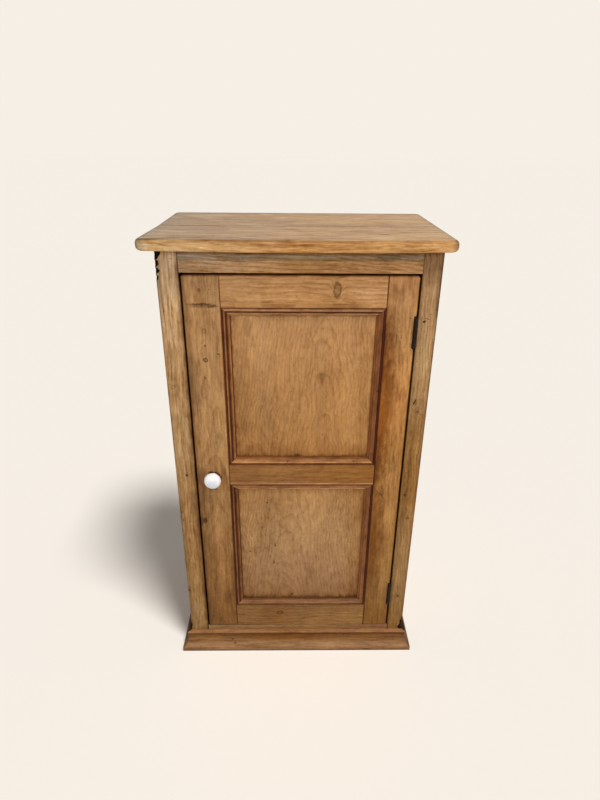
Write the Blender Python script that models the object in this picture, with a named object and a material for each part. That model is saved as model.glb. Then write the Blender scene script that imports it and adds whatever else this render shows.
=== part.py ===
"""Tall pine cupboard: one two-panel door on iron butts, closed by a turning porcelain knob."""
import math

import bmesh
import bpy
from mathutils import Vector

# Overall sizes of the cupboard, in metres
OVERALL_HEIGHT = 1.032
CARCASS_WIDTH = 0.537
CARCASS_DEPTH = 0.3425

# Clearances between pieces
SEAT_GAP = 0.0003
MITRE_GAP = 0.0002
DOOR_GAP = 0.0035
DOOR_FOOT_GAP = 0.0018
HINGE_SIDE_GAP = 0.004
CUT_OVERRUN = 0.005

# Shape of a rounded edge, a half being a true round, and the turn that keeps an arris crisp
ROUND_PROFILE = 0.5
CRISP_DEGREES = 40

# Top, of two boards laid side by side
TOP_THICKNESS = 0.023
TOP_LEFT_OVERHANG = 0.0235
TOP_RIGHT_OVERHANG = 0.0215
TOP_LEFT_SPLAY = 0.006
TOP_FRONT_OVERHANG = 0.0185
TOP_FRONT_BOW = 0.012
TOP_BOW_STEPS = 14
TOP_FRONT_BOARD_WIDTH = 0.156
TOP_JOINT_GAP = 0.0006
TOP_CORNER_RADIUS = 0.009
TOP_CORNER_STEPS = 5
TOP_END_ROUND = 0.009
TOP_EDGE_ROUND = 0.0045
TOP_ROUND_STEPS = 5
TOP_JOINT_EASE = 0.0008

# Side boards and what is let into them
SIDE_THICKNESS = 0.018
BACK_REBATE = 0.010
HOUSING_DEPTH = 0.006

# Face frame
FRAME_THICKNESS = 0.020
LEFT_FACE_STILE_WIDTH = 0.042
RIGHT_FACE_STILE_WIDTH = 0.037
FACE_TOP_RAIL_WIDTH = 0.042
FACE_BOTTOM_RAIL_WIDTH = 0.055
OPENING_BOTTOM = 0.0655
FACE_TENON_LENGTH = 0.022
FACE_TENON_THICKNESS = 0.007
FACE_TENON_SHOULDER = 0.008
ARRIS_EASE = 0.0009

# Back, of tongued and grooved boards
BACK_BOARD_COUNT = 4
BACK_THICKNESS = 0.0097
BACK_FOOT = 0.012
BACK_TONGUE_LENGTH = 0.004
BACK_TONGUE_THICKNESS = 0.003

# Bottom board, shelves and cleats
BOTTOM_BOARD_THICKNESS = 0.018
BOTTOM_BOARD_STOP = 0.009
SHELF_THICKNESS = 0.016
SHELF_SETBACK = 0.016
SHELF_SIDE_GAP = 0.0005
LOWER_SHELF_TOP = 0.372
UPPER_SHELF_TOP = 0.688
CLEAT_SIZE = 0.019
CLEAT_CHAMFER = 0.006
DOOR_STOP_WIDTH = 0.070
DOOR_STOP_THICKNESS = 0.012
DOOR_STOP_HEIGHT = 0.026
DOOR_STOP_LAP = 0.008

# Plinth moulding, planted round the foot
PLINTH_HEIGHT = 0.052
PLINTH_FOOT_PROJECTION = 0.0225
PLINTH_FOOT_HEIGHT = 0.010
PLINTH_NECK_PROJECTION = 0.0075
PLINTH_FILLET_PROJECTION = 0.0095
PLINTH_FILLET_HEIGHT = 0.006
PLINTH_COVE_STEPS = 8

# Door frame
DOOR_THICKNESS = 0.020
LOCK_STILE_WIDTH = 0.0715
HINGE_STILE_WIDTH = 0.0595
DOOR_TOP_RAIL_WIDTH = 0.0635
DOOR_MIDDLE_RAIL_WIDTH = 0.050
DOOR_BOTTOM_RAIL_WIDTH = 0.0667
MIDDLE_RAIL_RISE = 0.4282
DOOR_HAUNCH = 0.018
DOOR_CORNER_RADIUS = 0.005
GROOVE_WIDTH = 0.0065
GROOVE_DEPTH = 0.008
GROOVE_SETBACK = 0.0092
HINGE_TENON_LENGTH = 0.025
SPINDLE_WALL = 0.004

# Planted panel moulding
MOULDING_WIDTH = 0.0175
MOULDING_HEIGHT = 0.0086
MOULDING_FILLET_WIDTH = 0.0032
MOULDING_QUIRK_WIDTH = 0.0014
MOULDING_QUIRK_DEPTH = 0.0022
MOULDING_OVOLO_WIDTH = 0.0088
MOULDING_OVOLO_FOOT = 0.0038
MOULDING_TOE_HEIGHT = 0.0024
MOULDING_OVOLO_STEPS = 6

# Butt hinges
HINGE_HEIGHT = 0.0635
HINGE_INSET_SHARES = (0.1161, 0.874)
HINGE_PROUD = 0.0022
LEAF_WIDTH = 0.018
LEAF_THICKNESS = 0.0027
LEAF_SETBACK = 0.00015
KNUCKLE_RADIUS = 0.004
KNUCKLE_COUNT = 5
PIN_RADIUS = 0.0019
PIN_CLEARANCE = 0.00015
PIN_HEAD_RADIUS = 0.0030
PIN_HEAD_HEIGHT = 0.0014
KNUCKLE_SIDES = 20

# Countersunk hinge screws
SCREW_HEAD_RADIUS = 0.0032
SCREW_HEAD_DEPTH = 0.0017
SCREW_SHANK_RADIUS = 0.0015
SCREW_LENGTH = 0.014
SCREW_POINT_LENGTH = 0.003
SCREW_SPACING = 0.0215
SCREW_STAGGER = 0.0018
SCREW_SIDES = 12

# Knob, spindle and turning catch
KNOB_INSET = 0.036
KNOB_RISE = 0.4482
KNOB_RADIUS = 0.0187
KNOB_PROJECTION = 0.030
KNOB_BELLY_HEIGHT = 0.0162
KNOB_NECK_RADIUS = 0.0085
KNOB_NECK_HEIGHT = 0.0035
KNOB_BASE_RADIUS = 0.0105
KNOB_BASE_HEIGHT = 0.0012
KNOB_BORE_DEPTH = 0.018
KNOB_SIDES = 36
KNOB_BELLY_STEPS = 7
KNOB_DOME_STEPS = 9
SPINDLE_RADIUS = 0.004
SPINDLE_SQUARE = 0.006
SPINDLE_THREAD_RADIUS = 0.0024
SPINDLE_END = 0.0012
SPINDLE_SIDES = 16
TONGUE_REACH = 0.058
TONGUE_WIDTH = 0.016
TONGUE_TIP_WIDTH = 0.011
TONGUE_THICKNESS = 0.0025
TONGUE_CLEARANCE = 0.0006
NUT_ACROSS_FLATS = 0.010
NUT_THICKNESS = 0.004
NUT_SIDES = 6

# Colours, roughness and metallic value of each finish
FINISHES = {
    "pine_top": ((0.44, 0.29, 0.17), 0.55, 0.0),
    "pine_frame": ((0.36, 0.19, 0.075), 0.5, 0.0),
    "pine_door": ((0.38, 0.19, 0.07), 0.5, 0.0),
    "pine_panel": ((0.40, 0.20, 0.075), 0.5, 0.0),
    "pine_moulding": ((0.22, 0.09, 0.032), 0.5, 0.0),
    "pine_plinth": ((0.26, 0.12, 0.042), 0.5, 0.0),
    "pine_inside": ((0.42, 0.28, 0.15), 0.75, 0.0),
    "black_iron": ((0.022, 0.019, 0.018), 0.55, 0.85),
    "dull_steel": ((0.22, 0.20, 0.18), 0.45, 0.9),
    "white_porcelain": ((0.78, 0.77, 0.76), 0.12, 0.0),
}

# Heights and widths worked out from the sizes above
LEFT_REACH = max(TOP_LEFT_OVERHANG + TOP_LEFT_SPLAY, PLINTH_FOOT_PROJECTION)
RIGHT_REACH = max(TOP_RIGHT_OVERHANG, PLINTH_FOOT_PROJECTION)
FRONT_REACH = max(KNOB_PROJECTION, TOP_FRONT_OVERHANG + TOP_FRONT_BOW, PLINTH_FOOT_PROJECTION)
CENTRE_X = (LEFT_REACH - RIGHT_REACH) / 2
FRONT_Y = (FRONT_REACH - CARCASS_DEPTH) / 2
BACK_Y = FRONT_Y + CARCASS_DEPTH
FRAME_BACK_Y = FRONT_Y + FRAME_THICKNESS
HALF_WIDTH = CARCASS_WIDTH / 2
SIDE_INNER = HALF_WIDTH - SIDE_THICKNESS
TOP_UNDERSIDE = OVERALL_HEIGHT - TOP_THICKNESS
CARCASS_TOP = TOP_UNDERSIDE - SEAT_GAP
OPENING_TOP = CARCASS_TOP - FACE_TOP_RAIL_WIDTH
OPENING_LEFT = LEFT_FACE_STILE_WIDTH - HALF_WIDTH
OPENING_RIGHT = HALF_WIDTH - RIGHT_FACE_STILE_WIDTH
BACK_BOARD_FRONT = BACK_Y - BACK_THICKNESS
DOOR_LEFT = OPENING_LEFT + DOOR_GAP
DOOR_RIGHT = OPENING_RIGHT - HINGE_SIDE_GAP
DOOR_BOTTOM = OPENING_BOTTOM + DOOR_FOOT_GAP
DOOR_TOP = OPENING_TOP - DOOR_GAP
DOOR_BACK_Y = FRONT_Y + DOOR_THICKNESS
PANEL_LEFT = DOOR_LEFT + LOCK_STILE_WIDTH
PANEL_RIGHT = DOOR_RIGHT - HINGE_STILE_WIDTH
GROOVE_FRONT_Y = FRONT_Y + GROOVE_SETBACK
GROOVE_BACK_Y = GROOVE_FRONT_Y + GROOVE_WIDTH
PANEL_FRONT_Y = GROOVE_FRONT_Y + SEAT_GAP
KNOB_X = DOOR_LEFT + KNOB_INSET
KNOB_Z = DOOR_BOTTOM + KNOB_RISE
LOCK_TENON_LENGTH = LOCK_STILE_WIDTH - KNOB_INSET - SPINDLE_RADIUS - SPINDLE_WALL
PIN_X = OPENING_RIGHT - SEAT_GAP - KNUCKLE_RADIUS
PIN_Y = FRONT_Y - HINGE_PROUD
TONGUE_FRONT_Y = DOOR_BACK_Y + TONGUE_CLEARANCE
TONGUE_BACK_Y = TONGUE_FRONT_Y + TONGUE_THICKNESS


# Modelling helpers

def remove_all_objects():
    for item in list(bpy.data.objects):
        bpy.data.objects.remove(item, do_unlink=True)


def finish_material(slot):
    """The material of one finish, made once and shared by the pieces that have it."""
    material = bpy.data.materials.get(slot)
    if material:
        return material
    colour, roughness, metallic = FINISHES[slot]
    material = bpy.data.materials.new(slot)
    material.use_nodes = True
    shader = material.node_tree.nodes["Principled BSDF"]
    shader.inputs["Base Color"].default_value = (*colour, 1.0)
    shader.inputs["Roughness"].default_value = roughness
    shader.inputs["Metallic"].default_value = metallic
    return material


def skin(bm, near, far):
    """Join two neighbouring rings; a ring of one point makes a fan."""
    for index in range(max(len(near), len(far))):
        after = index + 1
        corners = [near[index % len(near)], near[after % len(near)]]
        corners += [far[after % len(far)], far[index % len(far)]]
        bm.faces.new(list(dict.fromkeys(corners)))


def solid(name, rings, slot=None):
    """A closed solid skinned over rings of points, with both ends capped."""
    bm = bmesh.new()
    loops = [[bm.verts.new(point) for point in ring] for ring in rings]
    for near, far in zip(loops, loops[1:]):
        skin(bm, near, far)
    for end in (loops[0], loops[-1]):
        if len(end) > 1:
            bm.faces.new(end)
    bmesh.ops.recalc_face_normals(bm, faces=bm.faces)
    mesh = bpy.data.meshes.new(name)
    bm.to_mesh(mesh)
    bm.free()
    item = bpy.data.objects.new(name, mesh)
    bpy.context.scene.collection.objects.link(item)
    if slot:
        mesh.materials.append(finish_material(slot))
    return item


def place(axis, along, pair):
    """A point from its distance along one axis and its pair on the other two."""
    if axis == "X":
        return (along, pair[0], pair[1])
    if axis == "Y":
        return (pair[0], along, pair[1])
    return (pair[0], pair[1], along)


def prism(name, outline, axis, start, end, slot=None):
    """An outline pushed straight along an axis."""
    rings = [[place(axis, along, pair) for pair in outline] for along in (start, end)]
    return solid(name, rings, slot)


def rectangle(low, high):
    return [low, (high[0], low[1]), high, (low[0], high[1])]


def block(name, low, high, slot=None):
    """A squared piece between two opposite corners."""
    outline = rectangle((low[0], low[2]), (high[0], high[2]))
    return prism(name, outline, "Y", low[1], high[1], slot)


def arc(centre, radius, start, end, steps):
    """Points along a circular arc, its angles in degrees."""
    points = []
    for step in range(steps + 1):
        angle = math.radians(start + (end - start) * step / steps)
        points.append((centre[0] + radius * math.cos(angle), centre[1] + radius * math.sin(angle)))
    return points


def polygon(radius, sides):
    return arc((0, 0), radius, 0, 360, sides)[:-1]


def turned(name, profile, sides, slot=None):
    """A solid turned about its own +Z from (radius, height) pairs; radius 0 closes it."""
    rings = []
    for radius, height in profile:
        if radius == 0:
            rings.append([(0, 0, height)])
        else:
            rings.append([(x, y, height) for x, y in polygon(radius, sides)])
    return smooth(solid(name, rings, slot))


def smooth(item):
    """Shade round stretches smooth and leave the arrises crisp."""
    item.data.shade_smooth()
    item.data.set_sharp_from_angle(angle=math.radians(CRISP_DEGREES))
    return item


def settle(item):
    """Turn an object's modifiers into its mesh."""
    graph = bpy.context.evaluated_depsgraph_get()
    shaped = bpy.data.meshes.new_from_object(item.evaluated_get(graph))
    plain = item.data
    item.modifiers.clear()
    item.data = shaped
    shaped.name = item.name
    bpy.data.meshes.remove(plain)


def combine(item, tools, operation):
    """Join the tool shapes to a piece or cut them out of it, and put them away."""
    for tool in tools:
        modifier = item.modifiers.new(tool.name, "BOOLEAN")
        modifier.operation = operation
        modifier.solver = "EXACT"
        modifier.object = tool
        tool.display_type = "WIRE"
        tool.hide_render = True
    settle(item)
    for tool in tools:
        bpy.data.objects.remove(tool, do_unlink=True)
    return item


def cut(item, *tools):
    return combine(item, tools, "DIFFERENCE")


def join(item, *tools):
    return combine(item, tools, "UNION")


def ease(item, width, segments=1):
    """Take the sharp arrises off a piece."""
    modifier = item.modifiers.new("eased_arrises", "BEVEL")
    modifier.width = width
    modifier.segments = segments
    modifier.limit_method = "ANGLE"
    modifier.angle_limit = math.radians(CRISP_DEGREES)
    settle(item)
    return item


def round_edges(item, width, segments, wanted):
    """Round the edges whose two ends both pass the test."""
    bm = bmesh.new()
    bm.from_mesh(item.data)
    edges = [edge for edge in bm.edges if wanted(edge)]
    bmesh.ops.bevel(bm, geom=edges, offset=width, segments=segments, profile=ROUND_PROFILE, affect="EDGES")
    bm.to_mesh(item.data)
    bm.free()
    return item


def hang_on(pivot, items):
    """Parent pieces to a pivot and leave them where they are."""
    bpy.context.view_layer.update()
    for item in items:
        item.parent = pivot
        item.matrix_parent_inverse = pivot.matrix_world.inverted()


def pivot_empty(name, location):
    pivot = bpy.data.objects.new(name, None)
    pivot.location = location
    bpy.context.scene.collection.objects.link(pivot)
    return pivot


# Top boards

def round_levels(radius):
    """Heights up a top board's edge, closest together where it turns in above and below."""
    rises = []
    for step in range(TOP_ROUND_STEPS):
        rises.append(radius * (1 - math.cos(math.radians(90 * step / (TOP_ROUND_STEPS - 1)))))
    return rises + [TOP_THICKNESS - rise for rise in reversed(rises)]


def worn_in(rise, radius):
    """How far in an edge lies at a height, with its upper and lower arris rounded alike."""
    left = max(radius - min(rise, TOP_THICKNESS - rise), 0)
    return radius - math.sqrt(radius * radius - left * left)


def front_board_outline(end_in, edge_in):
    """The front board in plan: a splayed left end, round corners and a bowed front edge."""
    radius = TOP_CORNER_RADIUS
    front_y = FRONT_Y - TOP_FRONT_OVERHANG + edge_in
    joint_y = FRONT_Y - TOP_FRONT_OVERHANG + TOP_FRONT_BOARD_WIDTH
    left = end_in - HALF_WIDTH - TOP_LEFT_OVERHANG
    right = HALF_WIDTH + TOP_RIGHT_OVERHANG - end_in
    bow_start = left - TOP_LEFT_SPLAY + radius
    bow_end = right - radius
    points = arc((bow_start, front_y + radius), radius, 180, 270, TOP_CORNER_STEPS)
    for step in range(1, TOP_BOW_STEPS):
        share = step / TOP_BOW_STEPS
        bow = 4 * TOP_FRONT_BOW * share * (1 - share)
        points.append((bow_start + (bow_end - bow_start) * share, front_y - bow))
    points += arc((bow_end, front_y + radius), radius, 270, 360, TOP_CORNER_STEPS)
    return points + [(right, joint_y), (left, joint_y)]


def rear_board_outline(end_in, edge_in):
    radius = TOP_CORNER_RADIUS
    joint_y = FRONT_Y - TOP_FRONT_OVERHANG + TOP_FRONT_BOARD_WIDTH + TOP_JOINT_GAP
    centre_y = BACK_Y - edge_in - radius
    left = end_in - HALF_WIDTH - TOP_LEFT_OVERHANG
    right = HALF_WIDTH + TOP_RIGHT_OVERHANG - end_in
    points = [(left, joint_y), (right, joint_y)]
    points += arc((right - radius, centre_y), radius, 0, 90, TOP_CORNER_STEPS)
    return points + arc((left + radius, centre_y), radius, 90, 180, TOP_CORNER_STEPS)


def make_top_board(name, outline):
    """A board of the top, its ends worn nearly round and its long edge less so."""
    end_radius = min(TOP_END_ROUND, TOP_THICKNESS / 2 - SEAT_GAP)
    rings = []
    for rise in round_levels(end_radius):
        points = outline(worn_in(rise, end_radius), worn_in(rise, TOP_EDGE_ROUND))
        rings.append([(x, y, TOP_UNDERSIDE + rise) for x, y in points])
    board = solid(name, rings, "pine_top")
    seam_y = FRONT_Y - TOP_FRONT_OVERHANG + TOP_FRONT_BOARD_WIDTH
    round_edges(board, TOP_JOINT_EASE, 1, lambda edge: is_seam_top(edge, seam_y))
    return smooth(board)


def is_seam_top(edge, seam_y):
    """Whether an edge is a board's upper arris beside the seam."""
    reach = TOP_JOINT_GAP + SEAT_GAP
    return all(
        abs(vertex.co.y - seam_y) < reach and OVERALL_HEIGHT - vertex.co.z < SEAT_GAP
        for vertex in edge.verts
    )


# Carcass boards

def make_side_board(name, side):
    """A side with a rebate for the back boards and a housing for the bottom board."""
    front = FRAME_BACK_Y + SEAT_GAP
    outline = rectangle((side * HALF_WIDTH, front), (side * SIDE_INNER, BACK_Y))
    board = ease(prism(name, outline, "Z", 0, CARCASS_TOP, "pine_frame"), ARRIS_EASE)
    low, high = bottom_board_span()
    mouth = side * (SIDE_INNER - CUT_OVERRUN)
    bed = side * (SIDE_INNER + HOUSING_DEPTH)
    housing = rectangle((mouth, low - SEAT_GAP), (bed, high + SEAT_GAP))
    step = side * (SIDE_INNER + BACK_REBATE)
    rebate = rectangle((mouth, BACK_Y - BACK_REBATE), (step, BACK_Y + CUT_OVERRUN))
    return cut(
        board,
        prism("housing", housing, "Y", front - CUT_OVERRUN, BACK_Y + CUT_OVERRUN),
        prism("rebate", rebate, "Z", -CUT_OVERRUN, CARCASS_TOP + CUT_OVERRUN),
    )


def bottom_board_span():
    top = OPENING_BOTTOM + BOTTOM_BOARD_STOP
    return (top - BOTTOM_BOARD_THICKNESS, top)


def make_bottom_board():
    """The cupboard's floor, let into both sides; it stands up behind the door as its stop."""
    reach = SIDE_INNER + HOUSING_DEPTH - SEAT_GAP
    low, high = bottom_board_span()
    front = FRAME_BACK_Y + SEAT_GAP
    back = BACK_BOARD_FRONT - SEAT_GAP
    return block("bottom_board", (-reach, front, low), (reach, back, high), "pine_inside")


def make_back_boards():
    """Upright boards, each with a tongue for its right neighbour's groove."""
    reach = SIDE_INNER + BACK_REBATE - SEAT_GAP
    cover = 2 * reach / BACK_BOARD_COUNT
    middle = BACK_BOARD_FRONT + BACK_THICKNESS / 2
    tongue = BACK_TONGUE_THICKNESS / 2
    groove = tongue + SEAT_GAP
    boards = []
    for number in range(BACK_BOARD_COUNT):
        left = cover * number - reach
        right = left + cover - SEAT_GAP
        outline = [(left, BACK_Y), (left, BACK_BOARD_FRONT), (right, BACK_BOARD_FRONT), (right, BACK_Y)]
        if number < BACK_BOARD_COUNT - 1:
            tip = right + BACK_TONGUE_LENGTH
            outline[3:3] = [(right, middle - tongue), (tip, middle - tongue)]
            outline[5:5] = [(tip, middle + tongue), (right, middle + tongue)]
        if number:
            bed = left + BACK_TONGUE_LENGTH + SEAT_GAP
            outline[1:1] = [(left, middle + groove), (bed, middle + groove)]
            outline[3:3] = [(bed, middle - groove), (left, middle - groove)]
        name = f"back_board_{number + 1}"
        boards.append(prism(name, outline, "Z", BACK_FOOT, CARCASS_TOP, "pine_inside"))
    return boards


def make_shelf(name, shelf_top):
    reach = SIDE_INNER - SHELF_SIDE_GAP
    front = FRAME_BACK_Y + SHELF_SETBACK
    back = BACK_BOARD_FRONT - SEAT_GAP
    shelf = block(name, (-reach, front, shelf_top - SHELF_THICKNESS), (reach, back, shelf_top), "pine_inside")
    return ease(shelf, ARRIS_EASE)


def make_cleat(name, side, shelf_top):
    """A batten nailed to the side under a shelf, its lower inner arris chamfered away."""
    top = shelf_top - SHELF_THICKNESS - SEAT_GAP
    bottom = top - CLEAT_SIZE
    wall = side * (SIDE_INNER - SEAT_GAP)
    face = side * (SIDE_INNER - SEAT_GAP - CLEAT_SIZE)
    toe = face + side * CLEAT_CHAMFER
    outline = [(wall, bottom), (toe, bottom), (face, bottom + CLEAT_CHAMFER), (face, top), (wall, top)]
    front = FRAME_BACK_Y + SHELF_SETBACK + CLEAT_CHAMFER
    back = BACK_BOARD_FRONT - SEAT_GAP
    return prism(name, outline, "Y", front, back, "pine_inside")


# Face frame

def make_face_stile(name, side, inner):
    """An upright of the face frame, mortised for both rails."""
    outline = rectangle((inner, 0), (side * HALF_WIDTH, CARCASS_TOP))
    stile = prism(name, outline, "Y", FRONT_Y, FRAME_BACK_Y, "pine_frame")
    ease(stile, ARRIS_EASE)
    middle = (FRONT_Y + FRAME_BACK_Y) / 2
    half = FACE_TENON_THICKNESS / 2 + SEAT_GAP
    mouth = inner - side * CUT_OVERRUN
    bed = inner + side * (FACE_TENON_LENGTH + SEAT_GAP)
    mortises = []
    for low, high in (face_tenon_span(*face_top_rail_span()), face_tenon_span(*face_bottom_rail_span())):
        outline = rectangle((mouth, low - SEAT_GAP), (bed, high + SEAT_GAP))
        mortises.append(prism("mortise", outline, "Y", middle - half, middle + half))
    return cut(stile, *mortises)


def face_top_rail_span():
    return (OPENING_TOP, CARCASS_TOP)


def face_bottom_rail_span():
    return (OPENING_BOTTOM - FACE_BOTTOM_RAIL_WIDTH, OPENING_BOTTOM)


def face_tenon_span(low, high):
    return (low + FACE_TENON_SHOULDER, high - FACE_TENON_SHOULDER)


def make_face_rail(name, span):
    """A rail of the face frame with a plain tenon at each end."""
    left = OPENING_LEFT + SEAT_GAP
    right = OPENING_RIGHT - SEAT_GAP
    rail = block(name, (left, FRONT_Y, span[0]), (right, FRAME_BACK_Y, span[1]), "pine_frame")
    ease(rail, ARRIS_EASE)
    middle = (FRONT_Y + FRAME_BACK_Y) / 2
    half = FACE_TENON_THICKNESS / 2
    low, high = face_tenon_span(*span)
    tenon_left = (OPENING_LEFT - FACE_TENON_LENGTH, middle - half, low)
    tenon_right = (OPENING_RIGHT + FACE_TENON_LENGTH, middle + half, high)
    return join(rail, block("tenons", tenon_left, tenon_right))


def make_door_stop():
    """A small block glued behind the top rail, which the closed door meets."""
    front = FRAME_BACK_Y + SEAT_GAP
    low = OPENING_TOP - DOOR_STOP_LAP
    stop = block(
        "door_stop",
        (-DOOR_STOP_WIDTH / 2, front, low),
        (DOOR_STOP_WIDTH / 2, front + DOOR_STOP_THICKNESS, low + DOOR_STOP_HEIGHT),
        "pine_inside",
    )
    return ease(stop, ARRIS_EASE)


# Plinth

def plinth_profile():
    """Pairs of projection and height: foot, cove, quirk and top fillet."""
    fillet_low = PLINTH_HEIGHT - PLINTH_FILLET_HEIGHT
    rise = fillet_low - PLINTH_FOOT_HEIGHT
    flare = PLINTH_FOOT_PROJECTION - PLINTH_NECK_PROJECTION
    pairs = [(SEAT_GAP, 0), (PLINTH_FOOT_PROJECTION, 0)]
    for step in range(PLINTH_COVE_STEPS + 1):
        angle = math.radians(90 * step / PLINTH_COVE_STEPS)
        projection = PLINTH_FOOT_PROJECTION - flare * math.sin(angle)
        pairs.append((projection, fillet_low - rise * math.cos(angle)))
    round_radius = PLINTH_FILLET_HEIGHT / 3
    pairs.append((PLINTH_FILLET_PROJECTION, fillet_low))
    centre = (PLINTH_FILLET_PROJECTION - round_radius, PLINTH_HEIGHT - round_radius)
    pairs += arc(centre, round_radius, 0, 90, 3)
    pairs.append((SEAT_GAP, PLINTH_HEIGHT))
    return pairs


def make_plinth_front():
    rings = []
    for side in (-1, 1):
        ring = []
        for projection, height in plinth_profile():
            ring.append((side * (HALF_WIDTH + projection - MITRE_GAP), FRONT_Y - projection, height))
        rings.append(ring)
    return solid("plinth_front", rings, "pine_plinth")


def make_plinth_side(name, side):
    mitred = []
    square = []
    for projection, height in plinth_profile():
        x = side * (HALF_WIDTH + projection)
        mitred.append((x, FRONT_Y - projection + MITRE_GAP, height))
        square.append((x, BACK_Y, height))
    return solid(name, [mitred, square], "pine_plinth")


# Door frame and panels

def door_rails():
    """Each rail's name with its low and high edge and the haunched edge: -1 low, 1 high, 0 none."""
    middle_low = DOOR_BOTTOM + MIDDLE_RAIL_RISE
    return (
        ("door_bottom_rail", DOOR_BOTTOM, DOOR_BOTTOM + DOOR_BOTTOM_RAIL_WIDTH, -1),
        ("door_middle_rail", middle_low, middle_low + DOOR_MIDDLE_RAIL_WIDTH, 0),
        ("door_top_rail", DOOR_TOP - DOOR_TOP_RAIL_WIDTH, DOOR_TOP, 1),
    )


def door_tenon_span(low, high, haunch):
    """The tenon's height: less the groove on a panel edge and the haunch on an outer edge."""
    groove = GROOVE_DEPTH + SEAT_GAP
    bottom = low + (DOOR_HAUNCH if haunch < 0 else groove)
    top = high - (DOOR_HAUNCH if haunch > 0 else groove)
    return (bottom, top)


def stile_comb(side, inner, tenon_length):
    """The groove with its deeper mortises, as an outline over the stile's inner edge."""
    mouth = inner - side * CUT_OVERRUN
    groove = inner + side * GROOVE_DEPTH
    bed = inner + side * (tenon_length + SEAT_GAP)
    outline = [(mouth, DOOR_BOTTOM - CUT_OVERRUN), (groove, DOOR_BOTTOM - CUT_OVERRUN)]
    for _, low, high, haunch in door_rails():
        bottom, top = door_tenon_span(low, high, haunch)
        bottom -= SEAT_GAP
        top += SEAT_GAP
        outline += [(groove, bottom), (bed, bottom), (bed, top), (groove, top)]
    outline += [(groove, DOOR_TOP + CUT_OVERRUN), (mouth, DOOR_TOP + CUT_OVERRUN)]
    return outline


def worn_stile_outline(inner, outer, side):
    """A stile with its two outer corners rounded by wear."""
    radius = DOOR_CORNER_RADIUS
    centre_x = outer - side * radius
    upper = arc((centre_x, DOOR_TOP - radius), radius, 90 - 90 * side, 90, 4)
    lower = arc((centre_x, DOOR_BOTTOM + radius), radius, 90 - 90 * side, 90 - 90 * side - 90 * side, 4)
    return [(inner, DOOR_BOTTOM), *reversed(lower), *upper, (inner, DOOR_TOP)]


def make_door_stile(name, side, inner, outer, tenon_length):
    outline = worn_stile_outline(inner, outer, side)
    stile = prism(name, outline, "Y", FRONT_Y, DOOR_BACK_Y, "pine_door")
    ease(stile, ARRIS_EASE)
    comb = stile_comb(side, inner, tenon_length)
    return cut(stile, prism("groove_and_mortises", comb, "Y", GROOVE_FRONT_Y, GROOVE_BACK_Y))


def tenon_plate(low, high, haunch):
    """Both tenons of a door rail with their haunches, as one outline through the rail."""
    bottom, top = door_tenon_span(low, high, haunch)
    stub = GROOVE_DEPTH - SEAT_GAP
    left = PANEL_LEFT - LOCK_TENON_LENGTH
    right = PANEL_RIGHT + HINGE_TENON_LENGTH
    outline = [(left, bottom), (right, bottom), (right, top), (left, top)]
    if haunch > 0:
        outline[3:3] = [(PANEL_RIGHT + stub, top), (PANEL_RIGHT + stub, high)]
        outline[5:5] = [(PANEL_LEFT - stub, high), (PANEL_LEFT - stub, top)]
    if haunch < 0:
        outline[1:1] = [(PANEL_LEFT - stub, bottom), (PANEL_LEFT - stub, low)]
        outline[3:3] = [(PANEL_RIGHT + stub, low), (PANEL_RIGHT + stub, bottom)]
    return outline


def make_door_rail(name, low, high, haunch):
    """A door rail, grooved on its panel edges, with a tenon at each end."""
    left = PANEL_LEFT + SEAT_GAP
    right = PANEL_RIGHT - SEAT_GAP
    rail = block(name, (left, FRONT_Y, low), (right, DOOR_BACK_Y, high), "pine_door")
    ease(rail, ARRIS_EASE)
    grooves = []
    for edge, inward in ((low, 1), (high, -1)):
        if haunch == -inward:
            continue
        outline = rectangle(
            (GROOVE_FRONT_Y, edge - inward * CUT_OVERRUN),
            (GROOVE_BACK_Y, edge + inward * GROOVE_DEPTH),
        )
        grooves.append(prism("groove", outline, "X", left - CUT_OVERRUN, right + CUT_OVERRUN))
    cut(rail, *grooves)
    front = GROOVE_FRONT_Y + SEAT_GAP
    back = GROOVE_BACK_Y - SEAT_GAP
    return join(rail, prism("tenons", tenon_plate(low, high, haunch), "Y", front, back))


def panel_openings():
    """The low and high edge of the lower and the upper panel opening."""
    bottom, middle, top = door_rails()
    return {"lower": (bottom[2], middle[1]), "upper": (middle[2], top[1])}


def make_panel(level, low, high):
    lap = GROOVE_DEPTH - 2 * SEAT_GAP
    return block(
        f"door_{level}_panel",
        (PANEL_LEFT - lap, PANEL_FRONT_Y, low - lap),
        (PANEL_RIGHT + lap, GROOVE_BACK_Y - SEAT_GAP, high + lap),
        "pine_panel",
    )


def moulding_profile():
    """Pairs of distance in from the frame and height over the panel: fillet, quirk, ovolo, toe."""
    quirk = MOULDING_FILLET_WIDTH
    ovolo = quirk + MOULDING_QUIRK_WIDTH
    toe = ovolo + MOULDING_OVOLO_WIDTH
    drop = MOULDING_HEIGHT - MOULDING_QUIRK_DEPTH
    pairs = [(SEAT_GAP, SEAT_GAP), (SEAT_GAP, MOULDING_HEIGHT), (quirk, MOULDING_HEIGHT)]
    pairs += [(quirk, drop), (ovolo, drop)]
    for step in range(MOULDING_OVOLO_STEPS + 1):
        angle = math.radians(90 * step / MOULDING_OVOLO_STEPS)
        rise = (MOULDING_HEIGHT - MOULDING_OVOLO_FOOT) * math.cos(angle)
        pairs.append((ovolo + MOULDING_OVOLO_WIDTH * math.sin(angle), MOULDING_OVOLO_FOOT + rise))
    pairs += [(toe, MOULDING_TOE_HEIGHT), (MOULDING_WIDTH, MOULDING_TOE_HEIGHT)]
    pairs.append((MOULDING_WIDTH, SEAT_GAP))
    return pairs


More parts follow.
